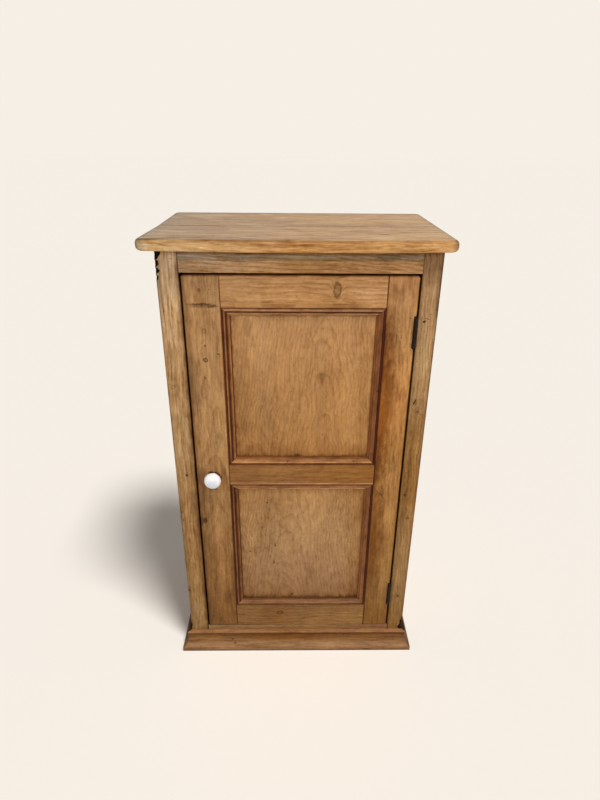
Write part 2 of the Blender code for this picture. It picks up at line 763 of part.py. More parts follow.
def make_mouldings(level, low, high):
    """Four strips mitred round a panel opening, bedded against the frame and the panel."""
    strips = []
    for place_name, edge, inward in (("bottom", low, 1), ("top", high, -1)):
        rings = []
        for start, side in ((PANEL_LEFT, 1), (PANEL_RIGHT, -1)):
            ring = []
            for inset, height in moulding_profile():
                x = start + side * (inset + MITRE_GAP)
                ring.append((x, PANEL_FRONT_Y - height, edge + inward * inset))
            rings.append(ring)
        strips.append(solid(f"{level}_panel_{place_name}_moulding", rings, "pine_moulding"))
    for place_name, edge, inward in (("left", PANEL_LEFT, 1), ("right", PANEL_RIGHT, -1)):
        rings = []
        for start, side in ((low, 1), (high, -1)):
            ring = []
            for inset, height in moulding_profile():
                z = start + side * (inset + MITRE_GAP)
                ring.append((edge + inward * inset, PANEL_FRONT_Y - height, z))
            rings.append(ring)
        strips.append(solid(f"{level}_panel_{place_name}_moulding", rings, "pine_moulding"))
    return strips


# Hinges and screws

def hinge_heights():
    """The middle of each hinge, from its share of the door's height."""
    height = DOOR_TOP - DOOR_BOTTOM
    low_share, high_share = HINGE_INSET_SHARES
    return {"lower": DOOR_BOTTOM + height * low_share, "upper": DOOR_BOTTOM + height * high_share}


def knuckle_spans(first):
    """Every second knuckle from the given one, as low and high ends about the hinge's middle."""
    pitch = HINGE_HEIGHT / KNUCKLE_COUNT
    spans = []
    for number in range(first, KNUCKLE_COUNT, 2):
        low = pitch * number - HINGE_HEIGHT / 2
        spans.append((low + SEAT_GAP / 2, low + pitch - SEAT_GAP / 2))
    return spans


def leaf_outline(spans):
    """A leaf's plate with a finger into each of its knuckles, as depth and height pairs."""
    root = KNUCKLE_RADIUS + SEAT_GAP
    half = HINGE_HEIGHT / 2
    outline = [(LEAF_WIDTH, half), (LEAF_WIDTH, -half)]
    if spans[0][0] > -half + SEAT_GAP:
        outline.append((root, -half))
    for low, high in spans:
        low += LEAF_SETBACK
        high -= LEAF_SETBACK
        outline += [(root, low), (0, low), (0, high), (root, high)]
    if spans[-1][1] < half - SEAT_GAP:
        outline.append((root, half))
    return outline


def screw_profile(clearance):
    """A countersunk wood screw from its point up to its flat head."""
    neck = -SCREW_HEAD_DEPTH
    head = SCREW_HEAD_RADIUS + clearance
    shank = SCREW_SHANK_RADIUS + clearance
    point = -SCREW_LENGTH - clearance
    return [(0, point), (shank, point + SCREW_POINT_LENGTH), (shank, neck), (head, 0), (0, 0)]


def screw_spots():
    """Depth and height of a leaf's three screws, staggered to spare the grain."""
    depth = (KNUCKLE_RADIUS + LEAF_WIDTH) / 2
    spots = []
    for row in (-1, 0, 1):
        stagger = SCREW_STAGGER if row else -SCREW_STAGGER
        spots.append((depth + stagger, row * SCREW_SPACING))
    return spots


def head_plane():
    """How far a leaf's inner face lies from the pin, where the screw heads finish flush."""
    return KNUCKLE_RADIUS - LEAF_SETBACK - LEAF_THICKNESS


def turn_to_wood(item, side, spot, origin):
    """Stand a turned screw shape with its point towards the wood on the given side."""
    item.rotation_euler = (0, -side * math.pi / 2, 0)
    item.location = Vector(origin) + Vector((side * head_plane(), spot[0], spot[1]))
    return item


def hinge_place(middle):
    return (PIN_X, PIN_Y, middle)


def make_leaf(name, side, first_knuckle, middle):
    """One cast leaf: plate, interleaved knuckles, pin bore and three countersunk holes."""
    spans = knuckle_spans(first_knuckle)
    near = side * head_plane()
    far = side * (KNUCKLE_RADIUS - LEAF_SETBACK)
    leaf = prism(name, leaf_outline(spans), "X", near, far, "black_iron")
    knuckle = polygon(KNUCKLE_RADIUS, KNUCKLE_SIDES)
    join(leaf, *[prism("barrel", knuckle, "Z", low, high) for low, high in spans])
    reach = HINGE_HEIGHT / 2 + CUT_OVERRUN
    holes = [prism("bore", polygon(PIN_RADIUS + PIN_CLEARANCE, KNUCKLE_SIDES), "Z", -reach, reach)]
    for spot in screw_spots():
        hole = turned("hole", countersink_profile(), SCREW_SIDES)
        holes.append(turn_to_wood(hole, side, spot, (0, 0, 0)))
    cut(leaf, *holes)
    leaf.location = hinge_place(middle)
    return leaf


def countersink_profile():
    """The hole for a screw, carried on past the leaf's face."""
    profile = screw_profile(SEAT_GAP)
    head = profile[-2][0]
    return profile[:-1] + [(head, CUT_OVERRUN), (0, CUT_OVERRUN)]


def make_screws(prefix, side, middle):
    screws = []
    for number, spot in enumerate(screw_spots(), start=1):
        screw = turned(f"{prefix}_screw_{number}", screw_profile(0), SCREW_SIDES, "black_iron")
        screws.append(turn_to_wood(screw, side, spot, hinge_place(middle)))
    return screws


def make_pin(name, middle):
    """A hinge pin with a flat head over the top knuckle."""
    half = HINGE_HEIGHT / 2
    head_low = half + SEAT_GAP
    head_high = head_low + PIN_HEAD_HEIGHT
    profile = [(0, -half), (PIN_RADIUS, -half), (PIN_RADIUS, head_low)]
    profile += [(PIN_HEAD_RADIUS, head_low), (PIN_HEAD_RADIUS, head_high - PIN_HEAD_HEIGHT / 2)]
    profile += [((PIN_RADIUS + PIN_HEAD_RADIUS) / 2, head_high), (0, head_high)]
    pin = turned(name, profile, KNUCKLE_SIDES, "black_iron")
    pin.location = hinge_place(middle)
    return pin


def pilot_holes(side, middle):
    """Straight holes with a drill's point, which take the screws' shanks in the wood."""
    radius = SCREW_SHANK_RADIUS + SEAT_GAP
    point = -SCREW_LENGTH - SEAT_GAP
    profile = [(0, point), (radius, point + SCREW_POINT_LENGTH), (radius, 0), (0, 0)]
    holes = []
    for spot in screw_spots():
        hole = turned("pilot_hole", profile, SCREW_SIDES)
        holes.append(turn_to_wood(hole, side, spot, hinge_place(middle)))
    return holes


def hinge_recess(middle):
    """The pocket in the door's edge that takes the whole hinge, open at the front and the edge."""
    half = HINGE_HEIGHT / 2 + SEAT_GAP
    head_room = PIN_HEAD_HEIGHT + 2 * SEAT_GAP
    low = (PIN_X - KNUCKLE_RADIUS - SEAT_GAP, FRONT_Y - CUT_OVERRUN, middle - half)
    high = (DOOR_RIGHT + CUT_OVERRUN, PIN_Y + LEAF_WIDTH + SEAT_GAP, middle + half + head_room)
    return block("hinge_recess", low, high)


def make_hinge(level, middle):
    """A butt hinge with its pin and screws; the frame leaf holds the pin."""
    frame_side = [
        make_leaf(f"{level}_hinge_frame_leaf", 1, 0, middle),
        make_pin(f"{level}_hinge_pin", middle),
        *make_screws(f"{level}_hinge_frame", 1, middle),
    ]
    door_side = [
        make_leaf(f"{level}_hinge_door_leaf", -1, 1, middle),
        *make_screws(f"{level}_hinge_door", -1, middle),
    ]
    return frame_side, door_side


# Knob and turning catch

def knob_profile():
    """The knob from its spindle bore, over base and neck, round the belly to the crown."""
    bore = SPINDLE_RADIUS + SEAT_GAP
    pairs = [(0, KNOB_BORE_DEPTH), (bore, KNOB_BORE_DEPTH), (bore, SEAT_GAP)]
    pairs += [(KNOB_BASE_RADIUS, SEAT_GAP), (KNOB_BASE_RADIUS, KNOB_BASE_HEIGHT)]
    pairs.append((KNOB_NECK_RADIUS, KNOB_NECK_HEIGHT))
    swell = KNOB_RADIUS - KNOB_NECK_RADIUS
    rise = KNOB_BELLY_HEIGHT - KNOB_NECK_HEIGHT
    for step in range(1, KNOB_BELLY_STEPS + 1):
        share = step / KNOB_BELLY_STEPS
        radius = KNOB_NECK_RADIUS + swell * math.sin(math.pi / 2 * share)
        pairs.append((radius, KNOB_NECK_HEIGHT + rise * share))
    crown = KNOB_PROJECTION - KNOB_BELLY_HEIGHT
    for step in range(1, KNOB_DOME_STEPS):
        angle = math.pi / 2 * step / KNOB_DOME_STEPS
        pairs.append((KNOB_RADIUS * math.cos(angle), KNOB_BELLY_HEIGHT + crown * math.sin(angle)))
    pairs.append((0, KNOB_PROJECTION))
    return pairs


def make_knob():
    knob = turned("knob", knob_profile(), KNOB_SIDES, "white_porcelain")
    knob.rotation_euler = (math.pi / 2, 0, 0)
    knob.location = (KNOB_X, FRONT_Y, KNOB_Z)
    return knob


def square_ring(size, sides):
    """Points round a square, as many as a round ring has, so that the two can be joined."""
    ring = []
    for x, z in polygon(1, sides):
        reach = max(abs(x), abs(z))
        ring.append((size / 2 * x / reach, size / 2 * z / reach))
    return ring


def make_spindle():
    """The spindle: round through the door, squared for the tongue, threaded for the nut."""
    nut_back = TONGUE_BACK_Y + SEAT_GAP + NUT_THICKNESS
    stations = [
        (FRONT_Y - KNOB_BORE_DEPTH + SEAT_GAP, polygon(SPINDLE_RADIUS, SPINDLE_SIDES)),
        (DOOR_BACK_Y + SEAT_GAP, polygon(SPINDLE_RADIUS, SPINDLE_SIDES)),
        (DOOR_BACK_Y + SEAT_GAP, square_ring(SPINDLE_SQUARE, SPINDLE_SIDES)),
        (TONGUE_BACK_Y, square_ring(SPINDLE_SQUARE, SPINDLE_SIDES)),
        (TONGUE_BACK_Y, polygon(SPINDLE_THREAD_RADIUS, SPINDLE_SIDES)),
        (nut_back + SPINDLE_END, polygon(SPINDLE_THREAD_RADIUS, SPINDLE_SIDES)),
    ]
    rings = [[(x, y, z) for x, z in ring] for y, ring in stations]
    spindle = solid("knob_spindle", rings, "dull_steel")
    spindle.location = (KNOB_X, 0, KNOB_Z)
    return spindle


def make_tongue():
    """The catch: a flat iron tongue that hangs down and swings up behind the face frame."""
    half = TONGUE_WIDTH / 2
    tip = TONGUE_TIP_WIDTH / 2
    outline = arc((0, 0), half, 0, 180, 8)
    outline += arc((0, tip - TONGUE_REACH), tip, 180, 360, 8)
    tongue = prism("catch_tongue", outline, "Y", TONGUE_FRONT_Y, TONGUE_BACK_Y, "dull_steel")
    hole_half = SPINDLE_SQUARE / 2 + SEAT_GAP
    hole = rectangle((-hole_half, -hole_half), (hole_half, hole_half))
    cutter = prism("hole", hole, "Y", TONGUE_FRONT_Y - CUT_OVERRUN, TONGUE_BACK_Y + CUT_OVERRUN)
    cut(tongue, cutter)
    tongue.location = (KNOB_X, 0, KNOB_Z)
    return tongue


def make_nut():
    front = TONGUE_BACK_Y + SEAT_GAP
    corner = NUT_ACROSS_FLATS / 2 / math.cos(math.pi / NUT_SIDES)
    nut = prism("spindle_nut", polygon(corner, NUT_SIDES), "Y", front, front + NUT_THICKNESS, "dull_steel")
    hole = polygon(SPINDLE_THREAD_RADIUS + SEAT_GAP, SPINDLE_SIDES)
    cut(nut, prism("hole", hole, "Y", front - CUT_OVERRUN, front + NUT_THICKNESS + CUT_OVERRUN))
    nut.location = (KNOB_X, 0, KNOB_Z)
    return nut


def spindle_bore():
    bore = polygon(SPINDLE_RADIUS + SEAT_GAP, SPINDLE_SIDES)
    cutter = prism("spindle_bore", bore, "Y", FRONT_Y - CUT_OVERRUN, DOOR_BACK_Y + CUT_OVERRUN)
    cutter.location = (KNOB_X, 0, KNOB_Z)
    return cutter


# Assembly

def build_carcass():
    pieces = [make_top_board("top_front_board", front_board_outline)]
    pieces.append(make_top_board("top_rear_board", rear_board_outline))
    pieces += [make_side_board("left_side_board", -1), make_side_board("right_side_board", 1)]
    pieces += [make_bottom_board(), *make_back_boards()]
    for level, shelf_top in (("lower", LOWER_SHELF_TOP), ("upper", UPPER_SHELF_TOP)):
        pieces.append(make_shelf(f"{level}_shelf", shelf_top))
        pieces.append(make_cleat(f"{level}_shelf_left_cleat", -1, shelf_top))
        pieces.append(make_cleat(f"{level}_shelf_right_cleat", 1, shelf_top))
    right_stile = make_face_stile("right_face_stile", 1, OPENING_RIGHT)
    for middle in hinge_heights().values():
        cut(right_stile, *pilot_holes(1, middle))
    pieces += [make_face_stile("left_face_stile", -1, OPENING_LEFT), right_stile]
    pieces.append(make_face_rail("face_top_rail", face_top_rail_span()))
    pieces.append(make_face_rail("face_bottom_rail", face_bottom_rail_span()))
    pieces.append(make_door_stop())
    pieces += [make_plinth_front(), make_plinth_side("plinth_left", -1), make_plinth_side("plinth_right", 1)]
    return pieces


def build_door():
    lock_stile = make_door_stile("door_lock_stile", -1, PANEL_LEFT, DOOR_LEFT, LOCK_TENON_LENGTH)
    cut(lock_stile, spindle_bore())
    hinge_stile = make_door_stile("door_hinge_stile", 1, PANEL_RIGHT, DOOR_RIGHT, HINGE_TENON_LENGTH)
    for middle in hinge_heights().values():
        cut(hinge_stile, hinge_recess(middle), *pilot_holes(-1, middle))
    pieces = [lock_stile, hinge_stile]
    pieces += [make_door_rail(*rail) for rail in door_rails()]
    for level, (low, high) in panel_openings().items():
        pieces.append(make_panel(level, low, high))
        pieces += make_mouldings(level, low, high)
    return pieces


def build_catch():
    return [make_knob(), make_spindle(), make_tongue(), make_nut()]


def build_cupboard():
    """Build every piece about the middle of the carcass, then centre the whole on the origin."""
    remove_all_objects()
    carcass = build_carcass()
    door = build_door()
    for level, middle in hinge_heights().items():
        frame_side, door_side = make_hinge(level, middle)
        carcass += frame_side
        door += door_side
    catch = build_catch()
    root = pivot_empty("carcass", (0, 0, 0))
    door_pivot = pivot_empty("door_pivot", (PIN_X, PIN_Y, DOOR_BOTTOM))
    catch_pivot = pivot_empty("catch_pivot", (KNOB_X, FRONT_Y, KNOB_Z))
    hang_on(root, carcass)
    hang_on(door_pivot, door)
    hang_on(catch_pivot, catch)
    hang_on(door_pivot, [catch_pivot])
    hang_on(root, [door_pivot])
    root.location.x = CENTRE_X


build_cupboard()
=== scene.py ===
"""An old waxed pine cupboard with one panelled door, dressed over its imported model."""
import math

import bmesh
import bpy
from mathutils import Matrix, Vector, noise


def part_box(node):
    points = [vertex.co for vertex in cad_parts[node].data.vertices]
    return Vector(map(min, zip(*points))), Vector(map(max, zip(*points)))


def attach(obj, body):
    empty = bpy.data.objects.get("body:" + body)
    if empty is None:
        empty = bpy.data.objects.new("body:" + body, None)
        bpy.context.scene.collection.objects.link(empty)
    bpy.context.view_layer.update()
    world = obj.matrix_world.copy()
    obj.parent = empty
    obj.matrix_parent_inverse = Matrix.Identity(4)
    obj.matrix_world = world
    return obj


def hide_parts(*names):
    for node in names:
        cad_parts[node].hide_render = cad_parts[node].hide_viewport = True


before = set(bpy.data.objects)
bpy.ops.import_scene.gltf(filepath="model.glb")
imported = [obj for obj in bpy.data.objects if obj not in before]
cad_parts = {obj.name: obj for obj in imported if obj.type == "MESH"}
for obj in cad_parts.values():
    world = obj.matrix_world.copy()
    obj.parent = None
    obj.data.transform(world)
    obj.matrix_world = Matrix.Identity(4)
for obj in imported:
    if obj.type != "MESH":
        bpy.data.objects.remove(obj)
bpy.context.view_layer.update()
scene = bpy.context.scene

# Camera
# Stands in front of the cupboard, a little left of its middle, and looks down on its door.
# Its place is taken from the face frame, whose two stiles are the cupboard's outer edges.
LENS = 25.29
FILM_WIDTH = 36
LOOKS_DOWN = math.radians(25.58)
TURNED_RIGHT = math.radians(0.93)
TILTED = math.radians(0.51)
STANDS_OFF = 1.05
STANDS_LEFT = 0.0143
STANDS_HIGH = 1.207

frame_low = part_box("left_face_stile")[0]
frame_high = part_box("right_face_stile")[1]
front_y = frame_low.y
middle_x = (frame_low.x + frame_high.x) / 2

ahead = Vector((
    math.sin(TURNED_RIGHT) * math.cos(LOOKS_DOWN),
    math.cos(TURNED_RIGHT) * math.cos(LOOKS_DOWN),
    -math.sin(LOOKS_DOWN),
))
level = Vector((math.cos(TURNED_RIGHT), -math.sin(TURNED_RIGHT), 0))
upward = level.cross(ahead)
across_picture = math.cos(TILTED) * level + math.sin(TILTED) * upward
up_picture = math.cos(TILTED) * upward - math.sin(TILTED) * level
camera = bpy.data.objects.new("camera", bpy.data.cameras.new("camera"))
camera.data.lens = LENS
camera.data.sensor_width = FILM_WIDTH
stand = Matrix.Translation((middle_x - STANDS_LEFT, front_y - STANDS_OFF, STANDS_HIGH))
camera.matrix_world = stand @ Matrix((across_picture, up_picture, -ahead)).transposed().to_4x4()
scene.collection.objects.link(camera)
scene.camera = camera
scene.view_settings.view_transform = "Standard"

# Studio
# A plain cream floor without a far edge, a soft lamp high at the front right that casts the
# shadow to the left, a low soft lamp in front, and a little even light from all round.
CREAM = (0.922, 0.863, 0.784)
FLOOR_REACH = 30
# Each lamp's strength, its height above the level, its turn to the right and its softness,
# the last three in degrees
STUDIO_LAMPS = {
    "high_lamp": (2.56, 64.5, 40.9, 15.4),
    "front_lamp": (1.0, 24.0, -4.0, 24.0),
}
EVEN_LIGHT = 0.13


class Wire:
    """One socket of a finish, so that shader sums are written as plain sums."""

    def __init__(self, finish, socket):
        self.finish = finish
        self.socket = socket

    def __add__(self, other):
        return self.finish.sum("ADD", self, other)

    def __radd__(self, other):
        return self.finish.sum("ADD", other, self)

    def __sub__(self, other):
        return self.finish.sum("SUBTRACT", self, other)

    def __rsub__(self, other):
        return self.finish.sum("SUBTRACT", other, self)

    def __mul__(self, other):
        return self.finish.sum("MULTIPLY", self, other)

    def __rmul__(self, other):
        return self.finish.sum("MULTIPLY", other, self)

    def __truediv__(self, other):
        return self.finish.sum("DIVIDE", self, other)

    def __pow__(self, other):
        return self.finish.sum("POWER", self, other)

    def __mod__(self, other):
        return self.finish.sum("FLOORED_MODULO", self, other)

    def fade(self, none, full):
        """Nought at one value and one at the other, eased in between."""
        return self.finish.node(
            "ShaderNodeMapRange",
            {"interpolation_type": "SMOOTHSTEP"},
            {"Value": self, "From Min": none, "From Max": full},
        )


class Finish:
    """The nodes of one finish."""

    def __init__(self, owner):
        self.owner = owner
        owner.use_nodes = True
        self.tree = owner.node_tree
        self.tree.nodes.clear()

    def node(self, kind, settings=None, sockets=None, result=0):
        """Add a node: first its settings, then the values or links of its sockets."""
        made = self.tree.nodes.new(kind)
        for name, value in (settings or {}).items():
            if name == "stops":
                self.set_stops(made.color_ramp.elements, value)
            else:
                setattr(made, name, value)
        for name, value in (sockets or {}).items():
            socket = next(one for one in made.inputs if one.identifier == name)
            if isinstance(value, Wire):
                self.tree.links.new(value.socket, socket)
            else:
                socket.default_value = value
        if not made.outputs:
            return None
        if isinstance(result, int):
            return Wire(self, made.outputs[result])
        return Wire(self, next(one for one in made.outputs if one.identifier == result))

    def set_stops(self, elements, stops):
        """Give a ramp its stops, each a share of its length and a colour."""
        while len(elements) < len(stops):
            elements.new(1)
        for element, (share, colour) in zip(elements, stops):
            element.position = share
            element.color = (*colour, 1)

    def sum(self, operation, first, second):
        """A sum of numbers."""
        sockets = {"Value": first, "Value_001": second}
        return self.node("ShaderNodeMath", {"operation": operation}, sockets)

    def vector_sum(self, operation, first, second, third=(0, 0, 0), result=0):
        """A sum of places or of colours."""
        sockets = {"Vector": first, "Vector_001": second}
        if operation == "MULTIPLY_ADD":
            sockets["Vector_002"] = third
        return self.node("ShaderNodeVectorMath", {"operation": operation}, sockets, result)

    def mix(self, first, second, share):
        """One colour going over into another."""
        settings = {"data_type": "RGBA"}
        sockets = {"Factor_Float": share}
        for name, colour in (("A_Color", first), ("B_Color", second)):
            sockets[name] = colour if isinstance(colour, Wire) else (*colour, 1)
        return self.node("ShaderNodeMix", settings, sockets, "Result_Color")

    def ramped(self, value, stops):
        """A colour that goes over from stop to stop as a value grows."""
        first, last = stops[0][0], stops[-1][0]
        ramp = [((spot - first) / (last - first), colour) for spot, colour in stops]
        share = (value - first) / (last - first)
        return self.node("ShaderNodeValToRGB", {"stops": ramp}, {"Fac": share})

    def clouds(self, place, scale, detail, roughness=0.5, result=0):
        """A cloudy pattern: its light and dark, or with result 1 its three colours."""
        sockets = {"Vector": place, "Scale": scale, "Detail": detail, "Roughness": roughness}
        return self.node("ShaderNodeTexNoise", None, sockets, result)

    def relief(self, height, strength, depth):
        """Small bumps, from their height and how deep they go in metres."""
        sockets = {"Strength": strength, "Distance": depth, "Height": height}
        return self.node("ShaderNodeBump", None, sockets)

    def surface(self, sockets):
        """Close the finish with its surface and hand over the material."""
        skin = self.node("ShaderNodeBsdfPrincipled", None, sockets)
        self.node("ShaderNodeOutputMaterial", None, {"Surface": skin})
        return self.owner


def cream_floor():
    """The floor's matt cream, which takes the shadow."""
    finish = Finish(bpy.data.materials.new("cream_floor"))
    surface = finish.node("ShaderNodeBsdfDiffuse", None, {"Color": (*CREAM, 1)})
    finish.node("ShaderNodeOutputMaterial", None, {"Surface": surface})
    return finish.owner


floor_mesh = bpy.data.meshes.new("studio_floor")
floor_corners = [
    (-FLOOR_REACH, -FLOOR_REACH, 0), (FLOOR_REACH, -FLOOR_REACH, 0),
    (FLOOR_REACH, FLOOR_REACH, 0), (-FLOOR_REACH, FLOOR_REACH, 0),
]
floor_mesh.from_pydata(floor_corners, [], [(0, 1, 2, 3)])
floor_mesh.materials.append(cream_floor())
studio_floor = bpy.data.objects.new("studio_floor", floor_mesh)
scene.collection.objects.link(studio_floor)

for lamp_name, (strength, rise, to_right, softness) in STUDIO_LAMPS.items():
    lamp = bpy.data.objects.new(lamp_name, bpy.data.lights.new(lamp_name, "SUN"))
    lamp.data.energy = strength
    lamp.data.angle = math.radians(softness)
    rise, to_right = math.radians(rise), math.radians(to_right)
    level_share = math.cos(rise)
    to_lamp = Vector((level_share * math.sin(to_right), -level_share * math.cos(to_right), math.sin(rise)))
    lamp.rotation_euler = to_lamp.to_track_quat("Z", "Y").to_euler()
    scene.collection.objects.link(lamp)

surround = bpy.data.worlds.new("studio_light")
room = Finish(surround)
seen = [
    room.node("ShaderNodeLightPath", result=kind)
    for kind in ("Is Camera Ray", "Is Glossy Ray", "Is Transmission Ray")
]
seen_share = room.sum("MAXIMUM", room.sum("MAXIMUM", seen[0], seen[1]), seen[2])
even_light = room.node("ShaderNodeBackground", None, {"Color": (1, 1, 1, 1), "Strength": EVEN_LIGHT})
backdrop = room.node("ShaderNodeBackground", None, {"Color": (*CREAM, 1), "Strength": 1})
light_mix = {"Fac": seen_share, "Shader": even_light, "Shader_001": backdrop}
room.node("ShaderNodeOutputWorld", None, {"Surface": room.node("ShaderNodeMixShader", None, light_mix)})
scene.world = surround

# Sides
# Two solid pine boards with the grain upright, rebated at the back and glued behind the face
# frame. Old wax has darkened them, most of all towards the foot and behind the frame.
# Dark colours for dirt. Soot also darkens the painted shadow on the plinth returns
SOOT_AND_SHADE = (0.030, 0.012, 0.005)
UMBER = (0.052, 0.017, 0.004)
SCRATCHED_PINE = (0.58, 0.41, 0.235)
SCRATCH_WIDTH = 0.0022
SCRATCH_DEPTH = 0.0008
# A swing in the growth or an open pore takes more from the blue of the wood than from its red
SWING_TINT = (0.9, 1.08, 1.22)
PORE_TINT = (0.78, 1.08, 1.75)
# How far the rings stray from true circles, how many of them bend round a knot, and how far the
# outline of a stain strays
RING_WANDER = 0.055
RINGS_BENT_BY_KNOT = 1.7
CROOKED_BY = 0.006
# A joint's dirt goes on faintly to so many times its reach
HALO_REACH = 6
END_GRAIN_SHADE = 0.3
GRAIN_RELIEF = 0.0006
WAX_SHINE = 0.12
# From one board's pattern to the next, so that no two boards are alike
PATTERN_STEP = Vector((1.7, 2.3, 3.1))


class Board(Finish):
    """The nodes of one board's finish, which follow its place, its grain and its edges."""

    def __init__(self, node, grain, face, seed, curl):
        super().__init__(bpy.data.materials.new("pine_" + node))
        self.low, self.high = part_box(node)
        self.along = "xyz".index(grain)
        self.face = face
        self.place = self.node("ShaderNodeTexCoord", result="Object")
        self.parts = {
            axis: self.node("ShaderNodeSeparateXYZ", None, {"Vector": self.place}, axis.upper())
            for axis in "xyz"
        }
        self.start = PATTERN_STEP * seed
        eddies, eddy_reach = curl
        eddy = self.clouds(self.vector_sum("ADD", self.place, self.start), eddies, 2, result=1)
        self.flow = self.vector_sum("MULTIPLY_ADD", eddy, [eddy_reach] * 3, self.place)

    def stretched(self, with_grain, over_grain, detail, roughness=0.5):
        """A cloudy pattern drawn out along the grain, in waves to the metre each way."""
        stretch = [over_grain] * 3
        stretch[self.along] = with_grain
        spot = self.vector_sum("MULTIPLY_ADD", self.flow, stretch, self.start)
        return self.clouds(spot, 1, detail, roughness)

    def blot(self, first, second, wide, tall, crooked, turn=0):
        """How far a point lies from a mark's middle on the face, in reaches of the mark."""
        middle, reach, rotation = [first, 0, second], [wide, 0, tall], (0, turn, 0)
        if self.face == "z":
            middle, reach, rotation = [first, second, 0], [wide, tall, 0], (0, 0, turn)
        if self.face == "x":
            middle, reach, rotation = [0, first, second], [0, wide, tall], (turn, 0, 0)
        sockets = {"Vector": crooked, "Location": middle, "Rotation": rotation, "Scale": reach}
        spot = self.node("ShaderNodeMapping", {"vector_type": "TEXTURE"}, sockets)
        return self.vector_sum("LENGTH", spot, (0, 0, 0), result="Value")

    def from_edge(self, axis, side):
        """How far in from its low or its high edge a point of the board lies."""
        corner = self.low if side < 0 else self.high
        return (self.parts[axis] - corner["xyz".index(axis)]) * -side

    def near_edge(self, axis, side, reach, ragged):
        """Full along an edge of the board, ragged a reach away and faint for some way more."""
        distance = self.from_edge(axis, side)
        line = (distance + (ragged - 0.5) * reach * 2.2).fade(reach * 1.15, reach * 0.35)
        halo = (distance + (ragged - 0.5) * reach * HALO_REACH).fade(reach * HALO_REACH, 0)
        return self.sum("MAXIMUM", line, halo * 0.35)


